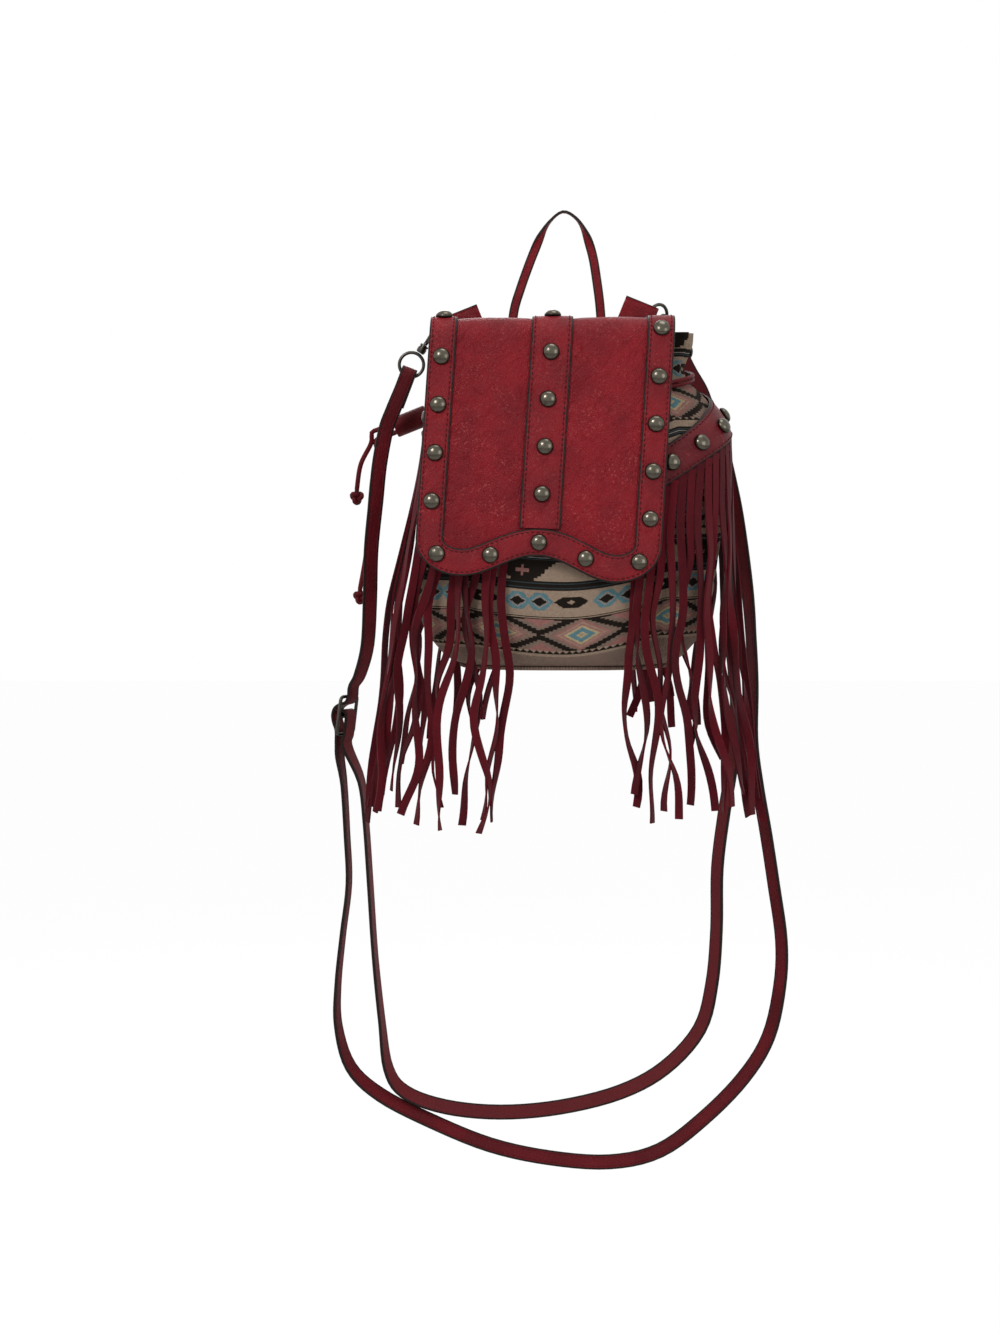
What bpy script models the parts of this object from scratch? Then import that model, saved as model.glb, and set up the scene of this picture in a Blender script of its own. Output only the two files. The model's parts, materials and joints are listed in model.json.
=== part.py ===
"""Fringed drawstring bag with a studded flap, hanging by its loop.

Metres, +Z up, the front of the bag faces -Y and its right side is +X.
The origin is the inside top of the hang loop, where the bag hangs from a hook.
"""
import math
import random

import bmesh
import bpy
from mathutils import Vector

# Clearances between pieces
GAP = 0.0003
LAYER_GAP = 0.0004

# Bag body: level, half width and depth of the fabric tube and how far it sways to the right
BODY_LEVELS = [
    (-0.285, 0.066, 0.072, 0.0),
    (-0.282, 0.073, 0.078, 0.0),
    (-0.275, 0.080, 0.084, 0.0),
    (-0.264, 0.088, 0.088, 0.0),
    (-0.245, 0.093, 0.090, 0.0),
    (-0.220, 0.0946, 0.092, 0.0019),
    (-0.190, 0.0955, 0.092, 0.0045),
    (-0.165, 0.0958, 0.090, 0.0067),
    (-0.150, 0.0955, 0.087, 0.0075),
    (-0.138, 0.0943, 0.081, 0.0077),
    (-0.127, 0.0890, 0.073, 0.0070),
    (-0.117, 0.0824, 0.064, 0.0056),
    (-0.108, 0.0755, 0.057, 0.0035),
    (-0.101, 0.0718, 0.054, 0.0032),
    (-0.094, 0.0730, 0.056, 0.0030),
    (-0.086, 0.0752, 0.060, 0.0028),
    (-0.078, 0.0755, 0.062, 0.0025),
]
BACK_Y = -0.003
PLAN_POWER = 2.6
FABRIC = 0.0016
LINING = 0.0008
LINING_TOP = -0.128
BASE_BOARD = 0.0025
BODY_SIDES = 64
FINE_ABOVE = -0.166
WIDE_SPAN = 0.0095
GATHERS = 16
GATHER_START = -0.112
GATHER_DEPTH = 0.0042

# Flap
FLAP_HALF = 0.0748
FLAP_X = -0.008
FLAP_LEAN = 0.065
FLAP_RISE = 0.028
FLAP_DROOP = 0.045
FLAP_THICK = 0.0016
FLAP_TOP_Z = -0.071
FLAP_FOLD_Y = -0.074
FLAP_FOLD_R = 0.014
FLAP_SLANT = math.radians(6.5)
HINGE_Y = -0.002
NOTCH_DROP = 0.1445
LOBE_DROP = 0.1585
LOBE_U = 0.047
CORNER_RISE = 0.0225

# Trim sewn on the flap
TRIM_THICK = 0.0013
BORDER_WIDTH = 0.0166
STRIP_HALF = 0.0125

# Dome studs
STUD_R = 0.0052
STUD_H = 0.0036
CENTRE_STUDS = 5
CENTRE_FIRST = 0.072
CENTRE_PITCH = 0.0289
SIDE_STUDS = 5
LEFT_FIRST = 0.074
LEFT_PITCH = 0.030
RIGHT_FIRST = 0.087
RIGHT_PITCH = 0.0284
BOTTOM_STUD_U = 0.0288

# Magnetic snap under the flap
SNAP_R = 0.0080
SNAP_THICK = 0.0013
SNAP_Z = -0.203

# Side bands
BAND_HALF_HEIGHT = 0.0125
BAND_THICK = 0.0015
BAND_OFFSET = 0.0007
BAND_END_Z = -0.120
BAND_FALL = 0.0788
BAND_DECAY = math.radians(43)
BAND_FRONT = math.radians(16.875)
BAND_BACK = math.radians(163.125)
BAND_STUDS = 6
LOOSE_BAND_STUDS = 3
STUD_SEAT = 0.0009
BAND_STUD_FIRST = math.radians(30.7)
BAND_STUD_PITCH = 0.0235

# Fringe
STRAND_PITCH = 0.0068
STRAND_WIDTH = 0.0050
SUEDE = 0.0012
HEADER = 0.009
STRAND_STEPS = 8
STRAND_LAYER = 0.0026
STRAND_TIP_Z = -0.372
STRAND_BACK_TIP_Z = -0.312
STRAND_FLARE = 1.32
FLARE_PIVOT = 0.035
STRAND_LAYERS = 3
STRAND_STAND = 0.0012
STRAND_SWING = (0.0028, 0.0054)
STRAND_TURNS = (1.1, 2.1)
STRAND_LEAN = 0.0045
STRAND_UNEVEN = (-0.016, 0.010)

# Back yoke, hang loop and tabs
YOKE_HALF = 0.072
YOKE_HEIGHT = 0.011
YOKE_THICK = 0.0014
YOKE_DROP = 0.0016
LOOP_WIDTH = 0.006
LOOP_THICK = 0.0016
LOOP_FEET = (-0.0335, 0.0255)
TAB_TAIL = 0.0100
TAB_NOSE = 0.0042
TAB_SINK = 0.0060
TAB_BEND = 0.0026
TAB_LENGTH = 0.018
TAB_REACH = 0.0115
TAB_THICK = 0.0013
TAB_TILT = math.radians(22)
TAB_LEFT = (-0.0600, -0.0640)
TAB_RIGHT = (0.0455, -0.0585)

# Rings, hooks and eyes
RING_R = 0.0075
RING_WIRE = 0.0011
RING_LEAN = math.radians(38)
TAB_STANDOFF = 0.0034
HOOK_WIRE = 0.0014
HOOK_BEND_R = 0.0042
HOOK_PLAY = 0.0008
HOOK_TIP = 0.0025
HOOK_NECK = 0.8
HOOK_SHOULDER = 0.5
BARREL_R = 0.0030
BARREL_LENGTH = 0.0060
GATE_WIRE = 0.0009
EYE_R = 0.0079
EYE_WIRE = 0.0011
HOOK_REACH = 0.0285
AIM_LEFT = Vector((-0.57, 0.0, -0.82))
AIM_RIGHT = Vector((0.365, 0.57, -0.735))

# Shoulder strap
STRAP_WIDTH = 0.010
STRAP_THICK = 0.0020
STRAP_Y = 0.038
PULL_LEFT = math.radians(-21)
PULL_RIGHT = math.radians(28)

# Slider on the strap
SLIDER_X = -0.1425
SLIDER_Z = -0.3275
SLIDER_YAW = math.radians(38)
SLIDER_HALF_WIDTH = 0.0070
SLIDER_HALF_HEIGHT = 0.0115
SLIDER_WIRE = 0.0012

# Drawstring
CORD_R = 0.0016
NECK_CORD_Z = -0.102
NECK_CORD_DIP = 0.012
NECK_CORD_STAND = CORD_R + LAYER_GAP + 0.0010
NECK_CORD_SIDES = 56
LONG_EXIT = -2 * math.pi * 22 / NECK_CORD_SIDES
SHORT_EXIT = -2 * math.pi * 21 / NECK_CORD_SIDES
TOGGLE_R = 0.0068
TOGGLE_LENGTH = 0.023
TOGGLE_BORE = 0.0022
TOGGLE_CENTRE = Vector((-0.099, 0.033, -0.1325))
TOGGLE_AXIS = Vector((-0.93, 0.0, -0.37)).normalized()
CORD_SPREAD = 0.0030
KNOT_R = 0.0050


def clear_scene():
    for obj in list(bpy.data.objects):
        bpy.data.objects.remove(obj, do_unlink=True)


def material(name, colour, roughness, metallic=0.0):
    mat = bpy.data.materials.new(name)
    mat.use_nodes = True
    shader = mat.node_tree.nodes["Principled BSDF"]
    shader.inputs["Base Color"].default_value = (*colour, 1.0)
    shader.inputs["Roughness"].default_value = roughness
    shader.inputs["Metallic"].default_value = metallic
    mat.diffuse_color = (*colour, 1.0)
    return mat


LEATHER = (0.26, 0.022, 0.030)
SUEDE_RED = (0.13, 0.010, 0.020)
TAPESTRY = (0.42, 0.34, 0.28)
LINEN = (0.30, 0.26, 0.22)
PEWTER = (0.20, 0.18, 0.15)
GUNMETAL = (0.10, 0.09, 0.08)


def add_mesh(name, verts, faces, mat, origin=(0, 0, 0), smooth=True):
    """One named object from world points, with its own origin."""
    mesh = bpy.data.meshes.new(name)
    base = Vector(origin)
    mesh.from_pydata([Vector(v) - base for v in verts], [], faces)
    mesh.update()
    work = bmesh.new()
    work.from_mesh(mesh)
    bmesh.ops.recalc_face_normals(work, faces=work.faces)
    work.to_mesh(mesh)
    work.free()
    mesh.materials.append(mat)
    if smooth:
        mesh.shade_smooth()
        mesh.set_sharp_from_angle(angle=math.radians(35))
    obj = bpy.data.objects.new(name, mesh)
    obj.location = base
    bpy.context.collection.objects.link(obj)
    return obj


def hermite(table, z):
    """Smooth value of each column of a table at level z."""
    levels = [row[0] for row in table]
    if z <= levels[0]:
        return table[0][1:]
    if z >= levels[-1]:
        return table[-1][1:]
    i = max(k for k in range(len(levels) - 1) if levels[k] <= z)
    span = levels[i + 1] - levels[i]
    t = (z - levels[i]) / span
    values = []
    for col in range(1, len(table[0])):

        def slope(k):
            lo, hi = max(k - 1, 0), min(k + 1, len(table) - 1)
            return (table[hi][col] - table[lo][col]) / (levels[hi] - levels[lo])

        h00 = 2 * t**3 - 3 * t**2 + 1
        h10 = t**3 - 2 * t**2 + t
        h01 = -2 * t**3 + 3 * t**2
        h11 = t**3 - t**2
        values.append(h00 * table[i][col] + h10 * span * slope(i)
                      + h01 * table[i + 1][col] + h11 * span * slope(i + 1))
    return values


def plan_point(angle, half_width, depth, inset=0.0):
    """Point of the rounded plan shape: angle 0 is the front, 90 degrees is +X."""
    a = half_width - inset
    b = depth / 2 - inset
    s, c = math.sin(angle), math.cos(angle)
    x = a * math.copysign(abs(s) ** (2 / PLAN_POWER), s)
    y = BACK_Y - depth / 2 - b * math.copysign(abs(c) ** (2 / PLAN_POWER), c)
    return x, y


def plan_normal(angle, half_width, depth):
    x, y = plan_point(angle, half_width, depth)
    b = depth / 2
    dx = x / half_width
    dy = (y - BACK_Y + b) / b
    nx = math.copysign(abs(dx) ** (PLAN_POWER - 1), dx) / half_width
    ny = math.copysign(abs(dy) ** (PLAN_POWER - 1), dy) / b
    size = math.hypot(nx, ny)
    return nx / size, ny / size


def gather(angle, z):
    """Outward ripple of the gathered neck: none on the flat back panel."""
    rise = max(0.0, z - GATHER_START) / (BODY_LEVELS[-1][0] - GATHER_START)
    turn = abs(math.atan2(math.sin(angle), math.cos(angle)))
    front = 1.0 - min(1.0, max(0.0, (turn - 1.9) / 0.5))
    wave = math.cos(GATHERS * angle + 0.8 * math.sin(3 * angle))
    return GATHER_DEPTH * rise**0.7 * front * wave


def upright_point(angle, z, offset=0.0):
    """Point on the body's surface before it sways."""
    half_width, depth, _ = hermite(BODY_LEVELS, z)
    x, y = plan_point(angle, half_width, depth)
    nx, ny = plan_normal(angle, half_width, depth)
    reach = offset + gather(angle, z)
    return Vector((x + nx * reach, y + ny * reach, z))


def sway(z):
    """Shift of the body's middle to the right at level z."""
    return Vector((hermite(BODY_LEVELS, z)[2], 0, 0))


def body_point(angle, z, offset=0.0):
    return upright_point(angle, z, offset) + sway(z)


def driving_levels():
    return [row[0] for row in BODY_LEVELS]


def ring_levels():
    """Levels of the fabric's rings: the driving levels and the middles of the wide upper spans."""
    levels = driving_levels()
    full = []
    for low, high in zip(levels, levels[1:]):
        full.append(low)
        if high - low > WIDE_SPAN and low > FINE_ABOVE:
            full.append((low + high) / 2)
    full.append(levels[-1])
    return full


def tube_shell(name, levels, inner_levels, sides, wall, skin, mat):
    """Open tube with a wall, its outer face a skin's depth inside the body's surface."""
    turns = [2 * math.pi * i / sides for i in range(sides)]
    rings = [[body_point(turn, z, -skin) for turn in turns] for z in levels]
    rings += [[body_point(turn, z, -skin - wall) for turn in turns] for z in reversed(inner_levels)]
    verts = [p for ring in rings for p in ring]
    faces = []
    count = len(rings)
    for r in range(count):
        nxt = (r + 1) % count
        for i in range(sides):
            j = (i + 1) % sides
            faces.append((r * sides + i, r * sides + j, nxt * sides + j, nxt * sides + i))
    return add_mesh(name, verts, faces, mat)


def make_body(mat):
    return tube_shell("body_shell", ring_levels(), driving_levels(), BODY_SIDES, FABRIC, 0.0, mat)


def make_lining(mat):
    low = BODY_LEVELS[0][0] + BASE_BOARD
    levels = [z for z in ring_levels() if low < z < LINING_TOP] + [LINING_TOP]
    coarse = [low] + levels[::2]
    return tube_shell("lining", coarse, coarse, BODY_SIDES // 2, LINING, FABRIC + 2 * LAYER_GAP, mat)


def make_base(mat):
    """Stiff oval base panel, sewn to the lower edge of the fabric."""
    z, half_width, depth, _ = BODY_LEVELS[0]
    verts = []
    for level in (z - GAP - BASE_BOARD, z - GAP):
        for i in range(BODY_SIDES):
            x, y = plan_point(2 * math.pi * i / BODY_SIDES, half_width, depth)
            verts.append((x, y, level))
    n = BODY_SIDES
    faces = [tuple(range(n)), tuple(range(n, 2 * n))]
    faces += [(i, (i + 1) % n, n + (i + 1) % n, n + i) for i in range(n)]
    return add_mesh("base_panel", verts, faces, mat)


FOLD_TURN = math.pi / 2 - FLAP_SLANT
V_TOP_END = HINGE_Y - FLAP_FOLD_Y
V_FRONT = V_TOP_END + FLAP_FOLD_R * FOLD_TURN
FOLD_DROP = FLAP_FOLD_R * (1 - math.cos(FOLD_TURN))


def v_at_drop(drop):
    """Length along the flap of a point that lies this far below the flap's top."""
    return V_FRONT + (drop - FOLD_DROP) / math.cos(FLAP_SLANT)


def flap_section(v):
    """Side view of the flap's outer face: y, z and the outward normal at length v."""
    if v < V_TOP_END:
        return HINGE_Y - v, FLAP_TOP_Z, 0.0, 1.0
    if v < V_FRONT:
        turn = (v - V_TOP_END) / FLAP_FOLD_R
        ny, nz = -math.sin(turn), math.cos(turn)
        centre_z = FLAP_TOP_Z - FLAP_FOLD_R
        return FLAP_FOLD_Y + ny * FLAP_FOLD_R, centre_z + nz * FLAP_FOLD_R, ny, nz
    y, z, ny, nz = flap_section(V_FRONT - 1e-9)
    along = v - V_FRONT
    return y + nz * -along, z + ny * along, ny, nz


V_LOBE = v_at_drop(LOBE_DROP)
V_NOTCH = v_at_drop(NOTCH_DROP)
V_CORNER = V_LOBE - CORNER_RISE


def flap_point(u, v, height=0.0):
    """Point at u across and v along the flap, raised by height; the flap hangs a little askew."""
    y, z, ny, nz = flap_section(v)
    drop = max(0.0, FLAP_TOP_Z - z)
    share = v / V_LOBE
    slope = FLAP_RISE * (1 - share) - FLAP_DROOP * share
    x = FLAP_X - FLAP_LEAN * drop + u
    return Vector((x, y + ny * height, z + nz * height + slope * u))


def flap_normal(v):
    _, _, ny, nz = flap_section(v)
    return Vector((0.0, ny, nz))


def flap_edge(u):
    """Length along the flap of its wavy lower edge, at u across."""
    side = abs(u)
    if side <= LOBE_U:
        return V_NOTCH + (V_LOBE - V_NOTCH) * (1 - math.cos(math.pi * side / LOBE_U)) / 2
    share = min(1.0, (side - LOBE_U) / (FLAP_HALF - LOBE_U))
    return V_CORNER + CORNER_RISE * math.sqrt(max(0.0, 1 - share**2))


def fold_lengths():
    """Lengths along the flap where its rows lie, down to the end of the fold."""
    rows = [0.0, V_TOP_END / 2, V_TOP_END]
    rows += [V_TOP_END + (V_FRONT - V_TOP_END) * k / 6 for k in range(1, 7)]
    return rows


def border_outline():
    """Outer edge of the flap as (u, v) points from the left back corner to the right one."""
    half = []
    steps = 10
    for k in range(steps + 1):
        turn = math.pi / 2 * k / steps
        u = LOBE_U + (FLAP_HALF - LOBE_U) * math.cos(turn)
        half.append((u, V_CORNER + CORNER_RISE * math.sin(turn)))
    for k in range(1, 9):
        u = LOBE_U * (1 - k / 8)
        half.append((u, flap_edge(u)))
    straight = fold_lengths() + [V_FRONT + (V_CORNER - V_FRONT) * k / 3 for k in (1, 2)]
    right = [(FLAP_HALF, v) for v in straight] + half
    left = [(-u, v) for u, v in right[:-1]]
    return left + right[::-1]


def inner_offset(path, distance):
    """Path moved inwards by a distance, square to itself."""
    moved = []
    for i, (u, v) in enumerate(path):
        u0, v0 = path[max(i - 1, 0)]
        u1, v1 = path[min(i + 1, len(path) - 1)]
        du, dv = u1 - u0, v1 - v0
        size = math.hypot(du, dv)
        moved.append((u + dv / size * distance, v - du / size * distance))
    return moved


def make_flap(mat):
    """Flap panel: one sheet over the top, the fold and the front."""
    count = 22
    turns = [math.pi * k / count for k in range(count + 1)]
    across = [-FLAP_HALF * math.cos(t) for t in turns]
    rows = fold_lengths()
    fronts = 5
    verts = []
    for height in (0.0, -FLAP_THICK):
        for u in across:
            edge = flap_edge(u)
            for v in rows:
                verts.append(flap_point(u, v, height))
            for k in range(1, fronts + 1):
                verts.append(flap_point(u, V_FRONT + (edge - V_FRONT) * k / fronts, height))
    per = len(rows) + fronts
    cols = len(across)
    under = per * cols
    faces = []
    for c in range(cols - 1):
        for r in range(per - 1):
            a = c * per + r
            quad = (a, a + 1, a + per + 1, a + per)
            faces.append(quad)
            faces.append(tuple(under + k for k in reversed(quad)))
    loop = [c * per for c in range(cols)]
    loop += [(cols - 1) * per + r for r in range(1, per)]
    loop += [c * per + per - 1 for c in range(cols - 2, -1, -1)]
    loop += [r for r in range(per - 2, 0, -1)]
    for a, b in zip(loop, loop[1:] + loop[:1]):
        faces.append((a, b, under + b, under + a))
    return add_mesh("flap_panel", verts, faces, mat, hinge_origin())


def hinge_origin():
    return flap_point(0.0, 0.0, -FLAP_THICK / 2)


def ribbon(name, sections, mat, origin=(0, 0, 0), closed=False):
    """Solid through rectangular sections, each given by its four corners in order."""
    verts = [p for section in sections for p in section]
    faces = []
    count = len(sections)
    last = count if closed else count - 1
    for s in range(last):
        a, b = 4 * s, 4 * ((s + 1) % count)
        for k in range(4):
            m = (k + 1) % 4
            faces.append((a + k, a + m, b + m, b + k))
    if not closed:
        faces.append((0, 1, 2, 3))
        end = 4 * (count - 1)
        faces.append((end, end + 1, end + 2, end + 3))
    return add_mesh(name, verts, faces, mat, origin)


def make_border(mat):
    outer = border_outline()
    inner = inner_offset(outer, BORDER_WIDTH)
    low, high = GAP, GAP + TRIM_THICK
    sections = []
    for (uo, vo), (ui, vi) in zip(outer, inner):
        sections.append((flap_point(uo, vo, low), flap_point(uo, vo, high),
                         flap_point(ui, vi, high), flap_point(ui, vi, low)))
    return ribbon("flap_border", sections, mat, hinge_origin())


def make_strip(mat):
    """Centre strip of the flap, from the back edge down to the border."""
    low, high = GAP, GAP + TRIM_THICK
    inner_edge = V_NOTCH - BORDER_WIDTH - GAP
    rows = fold_lengths() + [V_FRONT + (inner_edge - V_FRONT) * k / 3 for k in (1, 2, 3)]
    sections = []
    for v in rows:
        sections.append((flap_point(-STRIP_HALF, v, low), flap_point(-STRIP_HALF, v, high),
                         flap_point(STRIP_HALF, v, high), flap_point(STRIP_HALF, v, low)))
    return ribbon("flap_centre_strip", sections, mat, hinge_origin())


def dome_mesh(mat):
    """Dome stud: flat base at z 0, low dome above it."""
    mesh = bpy.data.meshes.new("dome_stud")
    work = bmesh.new()
    profile = [Vector((STUD_R, 0, 0))]
    for k in range(1, 3):
        turn = math.pi / 2 * k / 3
        profile.append(Vector((STUD_R * math.cos(turn), 0, STUD_H * math.sin(turn))))
    sides = 12
    rings = []
    for p in profile:
        ring = []
        for i in range(sides):
            turn = 2 * math.pi * i / sides
            ring.append(work.verts.new((p.x * math.cos(turn), p.x * math.sin(turn), p.z)))
        rings.append(ring)
    top = work.verts.new((0, 0, STUD_H))
    for low, high in zip(rings, rings[1:]):
        for i in range(sides):
            j = (i + 1) % sides
            work.faces.new((low[i], low[j], high[j], high[i]))
    for i in range(sides):
        work.faces.new((rings[-1][i], rings[-1][(i + 1) % sides], top))
    work.faces.new(rings[0][::-1])
    work.to_mesh(mesh)
    work.free()
    mesh.materials.append(mat)
    mesh.shade_smooth()
    mesh.set_sharp_from_angle(angle=math.radians(60))
    return mesh


def place_stud(name, mesh, point, normal, parent=None):
    obj = bpy.data.objects.new(name, mesh)
    obj.rotation_euler = Vector((0, 0, 1)).rotation_difference(normal).to_euler()
    obj.location = point
    bpy.context.collection.objects.link(obj)
    if parent:
        obj.parent = parent
        obj.location = point - parent.location
    return obj


def make_flap_studs(mesh, parent):
    """Twenty studs: five a side and down the centre, then five along the wavy border."""
    seat = GAP + TRIM_THICK + GAP
    column = FLAP_HALF - BORDER_WIDTH / 2
    spots = {}
    for k in range(SIDE_STUDS):
        spots[f"stud_left_{k + 1}"] = (-column, LEFT_FIRST + k * LEFT_PITCH)
        spots[f"stud_right_{k + 1}"] = (column, RIGHT_FIRST + k * RIGHT_PITCH)
    for k in range(CENTRE_STUDS):
        spots[f"stud_centre_{k + 1}"] = (0.0, CENTRE_FIRST + k * CENTRE_PITCH)
    middle = inner_offset(border_outline(), BORDER_WIDTH / 2)
    spots["stud_bottom_centre"] = middle[len(middle) // 2]
    low = max(middle, key=lambda p: p[0] * 0.75 + p[1])
    for side, sign in (("left", -1), ("right", 1)):
        spots[f"stud_corner_{side}"] = (sign * low[0], low[1])
        near = min(middle, key=lambda p: abs(p[0] - BOTTOM_STUD_U) + (p[1] < V_CORNER))
        spots[f"stud_bottom_{side}"] = (sign * near[0], near[1])
    for name, (u, v) in spots.items():
        place_stud(name, mesh, flap_point(u, v, seat), flap_normal(v), parent)


def disc(name, centre, normal, radius, height, mat, origin=None, sides=20):
    """Short round plate that starts at centre and grows along normal."""
    turn = Vector((0, 0, 1)).rotation_difference(Vector(normal))
    verts = []
    for z in (0.0, height):
        for i in range(sides):
            a = 2 * math.pi * i / sides
            verts.append(Vector(centre) + turn @ Vector((radius * math.cos(a), radius * math.sin(a), z)))
    faces = [tuple(range(sides)), tuple(range(sides, 2 * sides))]
    faces += [(i, (i + 1) % sides, sides + (i + 1) % sides, sides + i) for i in range(sides)]
    return add_mesh(name, verts, faces, mat, origin or centre)


def make_snap(mat):
    """Magnetic snap: one half under the flap, the other on the front of the body."""
    v = v_at_drop(FLAP_TOP_Z - SNAP_Z)
    top = flap_point(0.0, v, -FLAP_THICK - GAP)
    upper = disc("snap_plate", top, -flap_normal(v), SNAP_R, SNAP_THICK, mat, hinge_origin())
    front = body_point(0.0, SNAP_Z, GAP).y
    lower = disc("snap_socket", (top.x, front, top.z), (0, -1, 0), SNAP_R, SNAP_THICK, mat)
    return upper, lower


def band_level(angle):
    return BAND_END_Z - BAND_FALL * math.exp(-abs(angle) / BAND_DECAY)


def band_angles():
    step = 2 * math.pi / BODY_SIDES
    first = math.ceil(BAND_FRONT / step - 1e-6)
    last = math.floor(BAND_BACK / step + 1e-6)
    return [k * step for k in range(first, last + 1)]


def make_band(name, sign, mat):
    """Leather band that wraps round one side of the body above the fringe."""
    rows = 4
    angles = band_angles()
    verts = []
    for offset in (BAND_OFFSET, BAND_OFFSET + BAND_THICK):
        for angle in angles:
            for r in range(rows + 1):
                z = band_level(angle) + BAND_HALF_HEIGHT * (1 - 2 * r / rows)
                verts.append(body_point(sign * angle, z, offset))
    per, cols = rows + 1, len(angles)
    top = per * cols
    faces = []
    for c in range(cols - 1):
        for r in range(rows):
            a = c * per + r
            quad = (a, a + 1, a + per + 1, a + per)
            faces.append(quad)
            faces.append(tuple(top + k for k in reversed(quad)))
    loop = [c * per for c in range(cols)]
    loop += [(cols - 1) * per + r for r in range(1, per)]
    loop += [c * per + rows for c in range(cols - 2, -1, -1)]
    loop += [r for r in range(rows - 1, 0, -1)]
    for a, b in zip(loop, loop[1:] + loop[:1]):
        faces.append((a, b, top + b, top + a))
    return add_mesh(name, verts, faces, mat)


def band_frame(angle, z, offset):
    """Point on the band and its outward normal, from the surface itself."""
    point = body_point(angle, z, offset)
    step = 0.01
    along = body_point(angle + step, z, offset) - body_point(angle - step, z, offset)
    up = body_point(angle, z + 0.002, offset) - body_point(angle, z - 0.002, offset)
    normal = along.cross(up).normalized()
    return point, normal


def make_band_studs(side, sign, mesh, band):
    """Studs along the band's middle, an equal pitch apart, from beside the flap to the back.

    The first ones are pieces of their own, the rest are joined to the band.
    """
    angle = BAND_STUD_FIRST
    fine = math.radians(0.25)
    for k in range(BAND_STUDS):
        loose = k < LOOSE_BAND_STUDS
        seat = BAND_OFFSET + BAND_THICK + (STUD_SEAT if loose else -STUD_SEAT)
        point, normal = band_frame(sign * angle, band_level(angle), seat)
        stud = place_stud(f"band_stud_{side}_{k + 1}", mesh, point, normal)
        if not loose:
            stud.hide_render = True
            stud.display_type = "WIRE"
            union = band.modifiers.new(stud.name, "BOOLEAN")
            union.operation = "UNION"
            union.object = stud
        gone = 0.0
        last = body_point(angle, band_level(angle))
        while gone < BAND_STUD_PITCH:
            angle += fine
            here = body_point(angle, band_level(angle))
            gone += (here - last).length
            last = here


def hang_point(angle, top, z, offset):
    """Point of a strand that hangs from level top: it rests on the widest part above it."""
    low = max(z, BODY_LEVELS[0][0])
    samples = [low + (top - low) * k / 8 for k in range(9)]
    sizes = [hermite(BODY_LEVELS, s) for s in samples]
    half_width = max(s[0] for s in sizes)
    depth = max(s[1] for s in sizes)
    x, y = plan_point(angle, half_width, depth)
    nx, ny = plan_normal(angle, half_width, depth)
    return Vector((x + nx * offset, y + ny * offset, z))


def smooth_step(t):
    t = min(1.0, max(0.0, t))
    return t * t * (3 - 2 * t)


def strand_angles():
    """Angles of the two edges of each strand, at equal pitch along the band's lower edge."""
    fine = math.radians(0.2)
    marks = []
    angle = BAND_FRONT
    gone = 0.0
    last = body_point(angle, band_level(angle) - BAND_HALF_HEIGHT)
    target = 0.0
    while angle < BAND_BACK:
        if gone >= target:
            marks.append(angle)
            even = len(marks) % 2
            target += STRAND_WIDTH if even else STRAND_PITCH - STRAND_WIDTH
        angle += fine
        here = body_point(angle, band_level(angle) - BAND_HALF_HEIGHT)
        gone += (here - last).length
        last = here
    if len(marks) % 2:
        marks.pop()
    return marks


def strand_path(angle, index, rng):
    """Centres of one strand below its header down to its tip, with the width direction."""
    top = band_level(angle) - BAND_HALF_HEIGHT - HEADER
    ahead = hang_point(angle + 0.03, top, top, 0.0)
    width = (ahead - hang_point(angle - 0.03, top, top, 0.0)).normalized()
    backness = smooth_step((angle - 1.7) / 0.9)
    tip_z = STRAND_TIP_Z * (1 - backness) + STRAND_BACK_TIP_Z * backness
    tip_z += rng.uniform(*STRAND_UNEVEN)
    layer = index % STRAND_LAYERS
    phase = rng.uniform(0, 2 * math.pi)
    swing = rng.uniform(*STRAND_SWING)
    turns = rng.uniform(*STRAND_TURNS)
    lean = rng.uniform(-STRAND_LEAN, STRAND_LEAN)
    flare = (STRAND_FLARE - 1) * (1 - backness)
    points = []
    for k in range(1, STRAND_STEPS + 1):
        t = k / STRAND_STEPS
        z = top + (tip_z - top) * t
        spread = smooth_step(t / 0.45)
        offset = BAND_OFFSET + SUEDE / 2 + STRAND_STAND * min(1, t * 6) + layer * STRAND_LAYER * spread
        point = hang_point(angle, top, z, offset)
        drift = (point.x - FLARE_PIVOT) * flare * t**1.4
        wave = swing * spread * math.sin(2 * math.pi * turns * t + phase) + lean * t**1.5
        point += Vector((drift, 0, 0)) + width * wave
        points.append(point)
    return points, width


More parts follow.
